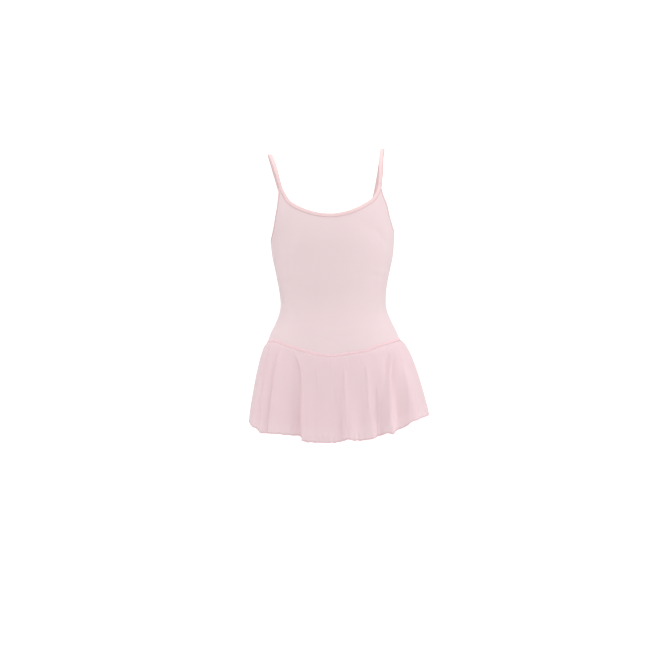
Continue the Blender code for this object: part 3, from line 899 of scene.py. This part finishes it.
def linear(value: float) -> float:
    """A screen value from 0 to 255 as the linear value that a shader takes."""
    share = value / 255
    return share / 12.92 if share <= 0.04045 else ((share + 0.055) / 1.055) ** 2.4


@dataclass(frozen=True)
class Cloth:
    """A cloth's finish: its colours on screen, the darker one painted shade in the knit's gaps, its knit
    in loops to a metre, and how it takes light.
    """

    name: str
    colour: tuple[int, int, int]
    # The cloth's colour darkened: painted shade in the gaps between the knit's loops.
    gap_shade: tuple[int, int, int]
    roughness: float
    sheen: float
    loops_across: float
    loops_up: float
    relief: float
    fuzz: float
    unevenness: float
    alpha: float = 1.0
    bump_strength: float = 0.6
    specular: float = 0.25
    sheen_roughness: float = 0.45
    rough_spread: float = 0.12

    def material(self, knit: bpy.types.NodeTree, mottle: bpy.types.NodeTree) -> bpy.types.Material:
        """Builds the material.

        Args:
            knit: The group that draws the loops.
            mottle: The group that draws dye and fuzz.

        Returns:
            The new material.
        """
        material = bpy.data.materials.new(self.name)
        material.use_nodes = True
        shader = material.node_tree.nodes["Principled BSDF"]
        wiring = Wiring(material.node_tree)
        lengths = wiring.node("ShaderNodeUVMap", uv_map="lengths")
        place = wiring.node("ShaderNodeTexCoord")
        stretch = {"Loops Across": self.loops_across, "Loops Up": self.loops_up}
        loops = wiring.node(
            "ShaderNodeGroup", {"Lengths": lengths.outputs["UV"], **stretch}, node_tree=knit
        )
        dye = wiring.node(
            "ShaderNodeGroup",
            {"Place": place.outputs["Object"], "Unevenness": self.unevenness},
            node_tree=mottle,
        )
        # Painted shade: the gaps between the knit's loops take the darker colour, and the tops of the
        # loops' legs take the cloth's own colour.
        colours = [(*map(linear, colour), 1.0) for colour in (self.gap_shade, self.colour)]
        yarn = wiring.node(
            "ShaderNodeMix",
            {"Factor": loops.outputs["Height"], "A": colours[0], "B": colours[1]},
            data_type="RGBA",
        )
        shaded = wiring.node(
            "ShaderNodeVectorMath",
            {0: yarn.outputs["Result"], "Scale": dye.outputs["Shade"]},
            operation="SCALE",
        )
        fuzz, least_rough = dye.outputs["Fuzz"], self.roughness - self.rough_spread / 2
        height = wiring.math("MULTIPLY_ADD", fuzz, self.fuzz, loops.outputs["Height"])
        bump = wiring.node(
            "ShaderNodeBump",
            {"Strength": self.bump_strength, "Distance": self.relief * MM, "Height": height},
        )
        inputs = {
            "Base Color": shaded.outputs["Vector"],
            "Normal": bump.outputs["Normal"],
            "Roughness": wiring.math("MULTIPLY_ADD", fuzz, self.rough_spread, least_rough),
            "Specular IOR Level": self.specular,
            "Sheen Weight": self.sheen,
            "Sheen Roughness": self.sheen_roughness,
            "Alpha": self.alpha,
        }
        wiring.fill(shader, inputs)
        return material


JERSEY_CLOTH = Cloth(
    name="fine_knit_jersey", colour=(238, 218, 220), gap_shade=(228, 205, 208), roughness=0.82, sheen=0.25,
    loops_across=1450.0, loops_up=1900.0, relief=0.10, fuzz=0.6, unevenness=0.05,
)
BINDING_CLOTH = Cloth(
    name="folded_binding", colour=(241, 213, 213), gap_shade=(233, 203, 204), roughness=0.70, sheen=0.18,
    loops_across=1250.0, loops_up=1700.0, relief=0.08, fuzz=0.4, unevenness=0.04,
)
SHEER_CLOTH = Cloth(
    name="sheer_skirt_knit", colour=(247, 222, 226), gap_shade=(242, 214, 219), roughness=0.66, sheen=0.30,
    loops_across=2100.0, loops_up=2500.0, relief=0.06, fuzz=0.5, unevenness=0.05, alpha=0.84,
)
# Thread darker than the bands: partly the stitches' own colour, and partly painted shadow of the line
# where each band meets the panel. Every row of stitches and every bar takes it.
THREAD_AND_SHADOW_CLOTH = Cloth(
    name="sewing_thread_and_painted_shadow", colour=(186, 154, 166), gap_shade=(168, 136, 148), roughness=0.55, sheen=0.10,
    loops_across=900.0, loops_up=900.0, relief=0.05, fuzz=1.0, unevenness=0.05,
)
ROLLED_CLOTH = Cloth(
    name="rolled_edge", colour=(242, 211, 215), gap_shade=(233, 198, 203), roughness=0.66, sheen=0.20,
    loops_across=1200.0, loops_up=1200.0, relief=0.08, fuzz=0.6, unevenness=0.05,
)


class Wardrobe:
    """The finished materials by their cloth's name, and the one way that a piece joins the garment."""

    def __init__(self) -> None:
        """Builds every material once."""
        knit, mottle = knit_group(), mottle_group()
        cloths = (JERSEY_CLOTH, BINDING_CLOTH, SHEER_CLOTH, THREAD_AND_SHADOW_CLOTH, ROLLED_CLOTH)
        self.materials = {cloth.name: cloth.material(knit, mottle) for cloth in cloths}
        self.pieces: dict[str, bpy.types.Object] = {}

    def dress(self, piece: bpy.types.Object, cloth: Cloth, slot: Slot, *nodes: str) -> None:
        """Gives a piece its cloth and its place in the garment.

        Args:
            piece: The finished mesh.
            cloth: Its finish.
            slot: The record's slot for its finish; not used.
            nodes: The solids that it stands for.
        """
        piece.data.materials.append(self.materials[cloth.name])
        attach(piece, BODY_NAME)
        if nodes:
            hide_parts(*nodes)
        self.pieces[nodes[0] if nodes else piece.name] = piece
        LOG.info("%s: %d faces", piece.name, len(piece.data.polygons))

    def sew(
        self, name: str, thread: Thread, edge: Points, sewn: Points, out: Points, lift: float
    ) -> None:
        """Sews a row of stitches along a folded band.

        Args:
            name: The band's name.
            thread: The thread.
            edge: Points along the band's folded edge.
            sewn: Points along its sewn edge.
            out: Directions out of the cloth.
            lift: How far out the stitches lie.
        """
        path = mix(edge, sewn, STITCH_ACROSS) + lift * out
        # The stitches take the darkened thread colour, which also paints the shadow line along the band's
        # sewn edge.
        self.dress(thread.row(f"{name}_stitches", path, out), THREAD_AND_SHADOW_CLOTH, Slot.BINDING)


@dataclass
class Bodice:
    """The camisole body: two panels that meet at the side seams and tuck under every band."""

    wardrobe: Wardrobe
    wall: float = 0.75
    neck_width: float = 8.0
    armhole_width: float = 3.5
    tuck: float = 1.2
    side_rows: int = 64
    armhole_rows: int = 56
    columns: int = 150
    seam_dip: float = 0.42
    seam_width: float = 1.6
    seam_fade: int = 6
    foot_tuck: float = 0.6
    least_rise: float = 0.05

    def __post_init__(self) -> None:
        """Lays out the necklines and armholes."""
        self.neck_front = Opening.along(neck_edge(NECK_FRONT, Face.FRONT), self.neck_width, self.tuck)
        self.neck_back = Opening.along(neck_edge(NECK_BACK, Face.BACK), self.neck_width, self.tuck)
        self.right = Opening.along(armhole_edge(ARMHOLE_RIGHT, True), self.armhole_width, self.tuck)
        self.left = Opening.along(armhole_edge(ARMHOLE_LEFT, False), self.armhole_width, self.tuck)

    def armhole_ends(self, line: Points, before: Opening, after: Opening) -> Ends:
        """The row numbers at which an armhole's line runs under the neck bands."""
        last = len(line) - 1 - crossing(line[::-1], after.tucked[::-1])
        return crossing(line, before.tucked), last

    def armhole_tops(self, armhole: Opening, before: Opening, after: Opening, side: float) -> Points:
        """The panels' upper sides along an armhole.

        Args:
            armhole: The armhole.
            before: The neckline that it starts at.
            after: The neckline that it ends at.
            side: The side seam's angle.

        Returns:
            Places from the first neckline down past the side seam and up to the other.
        """
        first, last = self.armhole_ends(armhole.tucked, before, after)
        seam = np.array([(side, -FAR), (side, FAR)])
        middle = crossing(armhole.tucked, seam)
        before_seam = np.linspace(first, middle, self.armhole_rows + 1)
        after_seam = np.linspace(middle, last, self.armhole_rows + 1)
        return at_rows(armhole.tucked, np.concatenate([before_seam, after_seam[1:]]))

    def panel(self, name: str, top: Points, first_top: Points, last_top: Points, first: float) -> None:
        """Builds one panel between its side seams.

        Args:
            name: The panel's name, which is its solid's too.
            top: Places along the neckline.
            first_top: Places up the armhole at its first side.
            last_top: Places up the armhole at its last side.
            first: The first side seam's angle.
        """
        angles = np.linspace(first, first + 2 * SIDE, self.columns + 1)
        foot = np.stack([angles, waist_seam(angles) + self.foot_tuck], axis=1)
        sides = []
        for corner, armhole in ((foot[0], first_top), (foot[-1], last_top)):
            seam = np.linspace(corner, (corner[0], armhole[0, 1]), self.side_rows + 1)
            side = np.concatenate([seam, armhole[1:]])
            climb = self.least_rise * np.arange(len(side))
            side[:, 1] = np.maximum.accumulate(side[:, 1] - climb) + climb
            sides.append(side)
        ups = [(side[:, 1] - side[0, 1]) / (side[-1, 1] - side[0, 1]) for side in sides]
        across = np.linspace(0, 1, self.columns + 1)[None, :]
        up = mix(ups[0][:, None], ups[1][:, None], across)[..., None]
        across = across[..., None]
        upright = mix(foot[None], top[None], up)
        level = mix(sides[0][:, None], sides[1][:, None], across)
        low = mix(foot[0], foot[-1], across)
        high = mix(top[0], top[-1], across)
        places = upright + level - mix(low, high, up)
        points = FORM.creased(places)
        points -= self.seam_depth(points)[..., None] * FORM.normal(places[..., 0], places[..., 1])
        piece = sheet_piece(f"{name}_cloth", points, self.wall)
        self.wardrobe.dress(piece, JERSEY_CLOTH, Slot.JERSEY, name)

    def seam_depth(self, points: Points) -> Points:
        """How far the cloth dips towards each side seam, so that the seam shows as a groove."""
        dip = np.zeros(points.shape[:2])
        for edge in (points[:, :1], points[:, -1:]):
            away = np.linalg.norm(points - edge, axis=2)
            dip = np.maximum(dip, self.seam_dip * bell(away, self.seam_width))
        past = self.side_rows + 1 + self.seam_fade
        fade = ease((past - np.arange(len(dip))) / self.seam_fade)
        return dip * fade[:, None]

    def build(self) -> None:
        """Builds both panels."""
        left = self.armhole_tops(self.left, self.neck_back, self.neck_front.turned(ROUND), ROUND - SIDE)
        right = self.armhole_tops(self.right, self.neck_front, self.neck_back, SIDE)
        neck, back = self.neck_front.tucked, self.neck_back.tucked
        half = LINE_POINTS // 2
        tops = []
        for line, start, end in (
            (neck, turned(self.left.tucked, -ROUND), self.right.tucked),
            (back, self.right.tucked, self.left.tucked),
        ):
            first, last = crossing(line, start), crossing(line[half:], end) + half
            tops.append(at_rows(line, np.linspace(first, last, self.columns + 1)))
        rows = self.armhole_rows
        self.panel("bodice_front", tops[0], turned(left[rows:], -ROUND), right[rows::-1], -SIDE)
        self.panel("bodice_back", tops[1], right[rows:], left[rows::-1], SIDE)


@dataclass
class Bands:
    """The folded bands round the necklines and armholes, with their stitched lines."""

    wardrobe: Wardrobe
    bodice: Bodice
    thread: Thread
    armhole_share: float = 0.72
    step: float = 0.9
    stitch_out: float = 0.16

    def band(self, name: str, opening: Opening, rows: Ends, inner: Ends, thickness: float) -> None:
        """Builds a band between rows of its opening's lines, and sews it down.

        Args:
            name: The band's name, which is its solid's too.
            opening: The opening that it edges.
            rows: The first and last row of its folded edge.
            inner: The first and last row of its sewn edge.
            thickness: A share of the full band's thickness.
        """
        length = lengths_along(FORM.face(opening.line[:, 0], opening.line[:, 1]))[-1]
        count = int(length / self.step)
        edge = at_rows(opening.line, np.linspace(*rows, count + 1))
        sewn = at_rows(opening.bound, np.linspace(*inner, count + 1))
        out = FORM.normal(edge[:, 0], edge[:, 1])
        edge, sewn = FORM.face(edge[:, 0], edge[:, 1]), FORM.face(sewn[:, 0], sewn[:, 1])
        piece = tube_piece(f"{name}_cloth", band_rings(edge, sewn, out, thickness))
        self.wardrobe.sew(name, self.thread, edge, sewn, out, self.stitch_out * thickness)
        self.wardrobe.dress(piece, BINDING_CLOTH, Slot.BINDING, name)

    def build(self) -> None:
        """Builds the two neck bands and the two armhole bands."""
        bodice = self.bodice
        whole = (0, LINE_POINTS - 1)
        self.band("neck_binding_front", bodice.neck_front, whole, whole, 1.0)
        self.band("neck_binding_back", bodice.neck_back, whole, whole, 1.0)
        for name, armhole, before, after in (
            ("armhole_binding_left", bodice.left, bodice.neck_back, bodice.neck_front.turned(ROUND)),
            ("armhole_binding_right", bodice.right, bodice.neck_front, bodice.neck_back),
        ):
            edge = bodice.armhole_ends(armhole.line, before, after)
            inner = bodice.armhole_ends(armhole.bound, before, after)
            self.band(name, armhole, edge, inner, self.armhole_share)


@dataclass
class Strap:
    """A shoulder strap: a folded strip that carries the front neck band on over the shoulder."""

    wardrobe: Wardrobe
    bodice: Bodice
    thread: Thread
    name: str
    middle: Rows
    right: bool
    width: float = 8.4
    proud: float = 0.4
    end_share: float = 0.22
    stations: int = 190
    stitch_out: float = -0.24
    bar_thread: Thread = Thread(length=1.5, gap=0.15, radius=0.26)
    bar_station: int = 3
    bar_reach: Ends = (0.1, 0.9)
    bar_points: int = 12
    bar_out: float = 0.66

    def end(self, neck: Opening, row: int) -> tuple[Points, Points]:
        """The neck-side and arm-side corners of a neck band's end."""
        first, last = (FORM.off(*line[row], self.proud) for line in (neck.line, neck.bound))
        return first, last

    def build(self) -> None:
        """Builds the strap, its stitched line and the bar of stitches at each end."""
        bodice, outward = self.bodice, 1.0 if self.right else -1.0
        front = self.end(bodice.neck_front, -1 if self.right else 0)
        back = self.end(bodice.neck_back, 0 if self.right else -1)
        starts = [(neck_side + arm_side) / 2 for neck_side, arm_side in (front, back)]
        halves = [(arm_side - neck_side) / 2 for neck_side, arm_side in (front, back)]
        path = curve_through([starts[0], *self.middle, starts[1]])
        path = evenly(path, lengths_along(path), self.stations)
        way = unit(np.gradient(path, axis=0))
        share = np.linspace(0, 1, self.stations)[:, None]
        square = np.array([outward, 0.0, 0.0]) - outward * way[:, :1] * way
        square = unit(square) * self.width / 2
        nearest = np.where(share < 0.5, halves[0], halves[1])
        half = mix(nearest, square, ease(np.minimum(share, 1 - share) / self.end_share))
        out = outward * unit(np.cross(half, way))
        edge, sewn = path - half - self.proud * out, path + half - self.proud * out
        piece = tube_piece(f"{self.name}_cloth", band_rings(edge, sewn, out))
        self.wardrobe.dress(piece, BINDING_CLOTH, Slot.BINDING, self.name)
        self.wardrobe.sew(self.name, self.thread, edge, sewn, out, self.proud + self.stitch_out)
        reach = np.linspace(*self.bar_reach, self.bar_points)[:, None]
        for end, row in (("front", self.bar_station), ("back", -1 - self.bar_station)):
            across = mix(edge[row], sewn[row], reach) + self.bar_out * out[row]
            outs = np.tile(out[row], (len(across), 1))
            bar = self.bar_thread.row(f"{self.name}_{end}_bar", across, outs)
            self.wardrobe.dress(bar, THREAD_AND_SHADOW_CLOTH, Slot.BINDING)


@dataclass
class Brief:
    """The brief under the skirt: two panels that meet at the crotch, and the legs' turned hems."""

    wardrobe: Wardrobe
    thread: Thread
    wall: float = 0.75
    inset: float = 1.0
    crotch: float = -530.0
    crowding: float = 1.5
    columns: int = 120
    rows: int = 96
    top_tuck: float = 0.6
    hem_width: float = 7.0
    leg_share: float = 0.40
    hem_share: float = 0.62
    inner_column: int = 5
    stitch_out: float = 0.10

    def points(self, face: Face) -> Points:
        """The outer face of one panel, from the crotch up to the waist seam."""
        rows = BRIEF_FRONT if face is Face.FRONT else BRIEF_BACK
        first = -face.facing * SIDE
        angle = np.linspace(first, first + 2 * SIDE, self.columns + 1)[None, :]
        share = 1 - np.linspace(0, 1, self.rows + 1)[:, None] ** self.crowding
        waist = waist_seam(angle) - self.top_tuck
        turn = np.radians(angle)
        breadth = FORM.breadth(waist)
        side_depth = FORM.side(face.value, waist)
        aside = FORM.radius(turn, breadth, side_depth, FORM.squareness) * np.sin(turn) / breadth
        depth, middle, half, edge = (
            smooth(rows["share"], rows[name], share) for name in ("depth", "middle", "half", "edge")
        )
        height = waist + (self.crotch - waist) * (middle + (edge - middle) * aside**2)
        reach = aside * np.minimum(half, 1.0)
        arch = np.maximum(1 - np.abs(reach) ** FORM.squareness, 0.0) ** (1 / FORM.squareness)
        ahead = (FORM.side(face.value, height) - self.inset) * depth * arch
        x = FORM.centre(height) + reach * (FORM.breadth(height) - self.inset)
        return np.stack([x, -face.facing * ahead, height], axis=-1)

    def leg_hem(self, name: str, points: Points) -> None:
        """Builds the turned hem along one leg edge of a panel, with its row of stitches.

        Args:
            name: The hem's name.
            points: The panel's rows from the crotch up, each starting at the leg edge.
        """
        share = np.linspace(0, 1, self.rows + 1) ** self.crowding
        last = int(np.searchsorted(share, 1 - self.leg_share)) + 1
        edges = points[:last, 0]
        inners = np.array([between(self.hem_width, lengths_along(row), row) for row in points[:last]])
        outs = unit(np.cross(inners - edges, np.gradient(edges, axis=0)))
        outs *= np.sign((outs[:, 1] * np.sign(edges[:, 1] + points[:last, self.inner_column, 1])).sum())
        piece = tube_piece(name, band_rings(edges, inners, outs, self.hem_share))
        self.wardrobe.dress(piece, JERSEY_CLOTH, Slot.JERSEY)
        self.wardrobe.sew(name, self.thread, edges, inners, outs, self.stitch_out)

    def build(self) -> None:
        """Builds both panels and their four stretches of leg hem."""
        for name, face in (("brief_front", Face.FRONT), ("brief_back", Face.BACK)):
            points = self.points(face)
            piece = sheet_piece(f"{name}_cloth", points, self.wall)
            self.wardrobe.dress(piece, JERSEY_CLOTH, Slot.JERSEY, name)
            for side, rows in zip(("left", "right")[::face.facing], (points, points[:, ::-1])):
                self.leg_hem(f"leg_hem_{face.value}_{side}", rows)


@dataclass
class Skirt:
    """The short sheer skirt: one ring of cloth with soft folds, sharp pleats and a rolled hem."""

    wardrobe: Wardrobe
    wall: float = 0.4
    columns: int = 960
    rows: int = 44
    outset: float = 0.9
    top_tuck: float = 1.2
    centre: float = 24.3
    breadth: float = 172.3
    front: float = 106.0
    back: float = 124.0
    squareness: float = 2.2
    flare: float = 0.62
    degree_top: float = 1.9
    degree_foot: float = 2.7
    pleat_fade: float = 0.14
    gather_out: float = 0.4
    gathers: Waves = Waves((61, 83, 97), 0.9)
    gather_start: float = 0.05
    gather_reach: float = 0.10
    ripple_out: float = 0.8
    ripples_out: Waves = Waves((43, 59, 71), 2.1)
    ripple_up: float = 0.8
    ripples_up: Waves = Waves((41, 57, 73), 1.3)
    ripple_share: float = 0.16
    curl: float = 0.8
    hem_radius: float = 0.75
    hem_points: int = 3600
    wrap_length: float = 1.5
    wrap_rings: int = 3
    wrap_out: float = 0.10
    hem_sides: int = 8

    def pleated(self, angle: Points, down: Points) -> Points:
        """How far the sharp folds stand out at these places."""
        degree = mix(self.degree_top, self.degree_foot, down)
        out = np.zeros(angle.shape)
        for pleat in PLEATS:
            middle = pleat.foot + (pleat.top - pleat.foot) * (1 - down) ** pleat.bend
            away = away_from(middle, angle) * degree
            side = np.where(away < 0, pleat.left, pleat.right)
            grown = ease((down - pleat.start) / self.pleat_fade)
            grown = grown * ease((pleat.end - down) / self.pleat_fade)
            out += pleat.out * grown * bell(away, side)
        return out

    def points(self, angle: Points, down: Points) -> Points:
        """The skirt's outer face.

        Args:
            angle: Angles round the body.
            down: Shares of the way from the waist seam to the hem.

        Returns:
            The points there.
        """
        angle, down = np.broadcast_arrays(angle, down)
        turn = np.radians(angle)
        top = FORM.off(angle, waist_seam(angle) - self.top_tuck, np.full(angle.shape, self.outset))
        depth = np.where(np.cos(turn) > 0, self.front, self.back)
        radius = FORM.radius(turn, self.breadth, depth, self.squareness)
        out = self.pleated(angle, down)
        for fold in FOLDS:
            grown = ease((down - fold.start) / (1 - fold.start))
            out += fold.out * grown * bell(away_from(fold.angle, angle), fold.width)
        gathered = ease(down / self.gather_start) * np.exp(-down / self.gather_reach)
        out += self.gather_out * self.gathers.at(angle) * gathered
        near_hem = ease((down - (1 - self.ripple_share)) / self.ripple_share)
        out += self.ripple_out * self.ripples_out.at(angle) * near_hem - self.curl * near_hem**3
        rise = self.ripple_up * self.ripples_up.at(angle) * near_hem
        hem = np.stack([self.centre + radius * np.sin(turn), -radius * np.cos(turn)], axis=-1)
        spread_out = (down**self.flare)[..., None]
        level = mix(top[..., :2], hem, spread_out)
        level = level + out[..., None] * np.stack([np.sin(turn), -np.cos(turn)], axis=-1)
        height = mix(top[..., 2], smooth_round(HEM, angle), down) + rise
        return np.concatenate([level, height[..., None]], axis=-1)

    def rolled_hem(self) -> bpy.types.Object:
        """Builds the rolled hem: a slim roll wrapped all round by its thread."""
        angle = np.linspace(0, ROUND, self.hem_points, endpoint=False)
        path = self.points(angle, np.ones(len(angle)))
        path = np.concatenate([path, path[:1]])
        along = lengths_along(path)
        step = self.wrap_length / self.wrap_rings
        count = int(along[-1] / step) // self.wrap_rings * self.wrap_rings
        path = evenly(path, along, count + 1)[:-1]
        way = way_round(path)
        level = unit(np.cross(way, np.array([0.0, 0.0, 1.0])))
        turn = np.linspace(0, math.tau, self.hem_sides, endpoint=False)
        phase = np.arange(count)[:, None] / self.wrap_rings * math.tau + turn[None]
        size = (self.hem_radius + self.wrap_out * np.cos(phase))[..., None]
        ahead, rise = size * np.cos(turn)[None, :, None], size * np.sin(turn)[None, :, None]
        rings = roll_rings(path, ahead, rise, level, np.cross(level, way))
        return tube_piece("skirt_hem", rings, closed=True)

    def build(self) -> None:
        """Builds the skirt and its hem."""
        angle = np.linspace(0, ROUND, self.columns, endpoint=False)[None, :]
        down = 1 - np.linspace(0, 1, self.rows + 1)[:, None]
        piece = sheet_piece("skirt_cloth", self.points(angle, down), self.wall, around=True)
        self.wardrobe.dress(piece, SHEER_CLOTH, Slot.SHEER, "skirt")
        self.wardrobe.dress(self.rolled_hem(), ROLLED_CLOTH, Slot.SHEER)


@dataclass
class WaistRoll:
    """The narrow puckered roll that covers the waist seam."""

    wardrobe: Wardrobe
    half_height: float = 3.0
    half_depth: float = 1.9
    inset: float = 0.4
    stations: int = 900
    sides: int = 12
    pucker: float = 0.13
    puckers: Waves = Waves((97, 131, 173), 1.7)
    wander: float = 0.3
    wanders: Waves = Waves((23, 37, 53), 0.7)

    def build(self) -> None:
        """Builds the roll."""
        angle = np.linspace(0, ROUND, self.stations, endpoint=False)
        height = waist_seam(angle) + self.wander * self.wanders.at(angle)
        out = FORM.normal(angle, height)
        path = FORM.off(angle, height, np.full(len(angle), -self.inset))
        up = np.cross(out, way_round(path))
        turn = np.linspace(0, math.tau, self.sides, endpoint=False)[None, :, None]
        size = (1 + self.pucker * self.puckers.at(angle))[:, None, None]
        ahead, rise = size * self.half_depth * np.cos(turn), size * self.half_height * np.sin(turn)
        piece = tube_piece("waist_roll_cloth", roll_rings(path, ahead, rise, out, up), closed=True)
        self.wardrobe.dress(piece, ROLLED_CLOTH, Slot.BINDING, "waist_roll")


class Cut(NamedTuple):
    """The flat size that a sheet was cut to, in metres, how it is held and what holds it."""

    name: str
    width: float
    length: float
    area: float
    held: Held
    rests_on: tuple[str, ...]
    on_it: tuple[str, ...]


CUTS = listed(
    Cut,
    ("bodice_front", 0.30, 0.30, 0.070, Held.STRETCHED, ("neck_binding_front",),
     ("neck_binding_front", "neck_binding_front_stitches")),
    ("bodice_back", 0.30, 0.27, 0.060, Held.STRETCHED, ("neck_binding_back",),
     ("neck_binding_back", "neck_binding_back_stitches")),
    ("brief_front", 0.33, 0.19, 0.039, Held.STRETCHED, ("waist_roll",),
     ("leg_hem_front_left", "leg_hem_front_right")),
    ("brief_back", 0.34, 0.21, 0.047, Held.STRETCHED, ("waist_roll",),
     ("leg_hem_back_left", "leg_hem_back_right")),
    ("skirt", 0.86, 0.33, 0.139, Held.HUNG, ("waist_roll",),
     ("skirt_hem",)),
)


@dataclass(frozen=True)
class Lamp:
    """A soft light panel of the studio: its place, its power and its size."""

    name: str
    place: tuple[float, float, float]
    power: float
    size: float = 2.2
    target: tuple[float, float, float] = (0.01, 0.0, -0.30)


@dataclass
class Studio:
    """A plain pale bowl of paper, soft light panels and the long lens that frames the garment."""

    floor: float = -2.3
    reach: float = 6.5
    wall: float = 9.0
    curve: float = 2.0
    sides: int = 96
    curve_steps: int = 16
    grey: float = 0.82
    roughness: float = 0.9
    specular: float = 0.1
    glow: float = 0.05
    seen_glow: float = 0.65
    sky: float = 0.52
    distance: float = 4.0
    eye: float = -0.275
    middle_x: float = -0.0011
    middle_z: float = -0.3312
    frame_width: float = 1.2369
    sensor: float = 36.0
    lamps: tuple[Lamp, ...] = (
        Lamp("key_light", (1.9, -2.6, 1.1), 24.0),
        Lamp("fill_light", (-2.3, -2.4, 0.3), 13.0),
        Lamp("top_light", (0.0, 0.3, 2.6), 40.0),
        Lamp("front_top_light", (0.0, -2.2, 2.2), 16.0),
        Lamp("right_light", (2.7, -0.6, -0.2), 25.0),
        Lamp("left_light", (-2.7, -0.6, -0.2), 20.0),
        Lamp("back_light", (-0.6, 2.6, 1.0), 14.0),
    )

    def build_bowl(self) -> None:
        """Builds the pale floor, which curves up into a wall all round."""
        bpy.ops.object.select_all(action="DESELECT")
        bpy.ops.mesh.primitive_circle_add(vertices=self.sides, radius=self.reach, fill_type="NGON")
        bowl = bpy.context.object
        bowl.name = "studio_bowl"
        bpy.ops.object.mode_set(mode="EDIT")
        bpy.ops.mesh.select_all(action="SELECT")
        bpy.ops.transform.translate(value=(0.0, 0.0, self.floor))
        bpy.ops.mesh.select_mode(type="EDGE")
        bpy.ops.mesh.extrude_edges_move(TRANSFORM_OT_translate={"value": (0.0, 0.0, self.wall)})
        bpy.ops.object.mode_set(mode="OBJECT")
        corners = bowl.data.vertices
        for edge in bowl.data.edges:
            edge.select = all(corners[corner].co.z < self.floor + self.curve for corner in edge.vertices)
        bpy.ops.object.mode_set(mode="EDIT")
        bpy.ops.mesh.bevel(offset=self.curve, segments=self.curve_steps)
        bpy.ops.object.mode_set(mode="OBJECT")
        bowl.data.shade_smooth()
        material = bpy.data.materials.new("studio_paper")
        material.use_nodes = True
        wiring = Wiring(material.node_tree)
        seen = wiring.node("ShaderNodeLightPath").outputs["Is Camera Ray"]
        inputs = {
            "Base Color": (self.grey, self.grey, self.grey, 1.0),
            "Roughness": self.roughness,
            "Specular IOR Level": self.specular,
            "Emission Color": WHITE,
            "Emission Strength": wiring.math("MULTIPLY_ADD", seen, self.seen_glow, self.glow),
        }
        wiring.fill(material.node_tree.nodes["Principled BSDF"], inputs)
        bowl.data.materials.append(material)

    def build_lights(self) -> None:
        """Sets the light panels and the pale surroundings."""
        world = bpy.data.worlds.new("studio_air")
        bpy.context.scene.world = world
        world.use_nodes = True
        air = world.node_tree.nodes["Background"]
        Wiring(world.node_tree).fill(air, {"Color": WHITE, "Strength": self.sky})
        for lamp in self.lamps:
            light = bpy.data.lights.new(lamp.name, "AREA")
            light.shape = "DISK"
            light.size = lamp.size
            light.energy = lamp.power
            panel = placed(lamp.name, light)
            place = np.array(lamp.place)
            away = np.array(lamp.target) - place
            panel.location = lamp.place
            panel.rotation_euler = (
                math.acos(-away[2] / np.linalg.norm(away)),
                0.0,
                math.atan2(away[1], away[0]) - math.pi / 2,
            )

    def build_camera(self) -> None:
        """Sets the camera level, in front of the garment, with a small shift to frame it."""
        data = bpy.data.cameras.new("camera")
        data.sensor_width = self.sensor
        data.lens = self.sensor * self.distance / self.frame_width
        data.shift_y = (self.middle_z - self.eye) / self.frame_width
        camera = placed("camera", data)
        camera.location = (self.middle_x, -self.distance, self.eye)
        camera.rotation_euler = (math.pi / 2, 0.0, 0.0)
        bpy.context.scene.camera = camera

    def build(self) -> None:
        """Builds the bowl, the lights and the camera."""
        bpy.context.scene.view_settings.view_transform = "Standard"
        self.build_camera()
        self.build_bowl()
        self.build_lights()


def main() -> None:
    """Builds the studio and the garment, piece by piece."""
    logging.basicConfig(level=logging.INFO, format="%(name)s %(message)s")
    Studio().build()
    wardrobe = Wardrobe()
    thread = Thread()
    bodice = Bodice(wardrobe)
    bodice.build()
    Bands(wardrobe, bodice, thread).build()
    Strap(wardrobe, bodice, thread, "strap_left", STRAP_LEFT, right=False).build()
    Strap(wardrobe, bodice, thread, "strap_right", STRAP_RIGHT, right=True).build()
    Brief(wardrobe, thread).build()
    Skirt(wardrobe).build()
    WaistRoll(wardrobe).build()
    LOG.info("%d pieces", len(wardrobe.pieces))


if __name__ == "__main__":
    main()
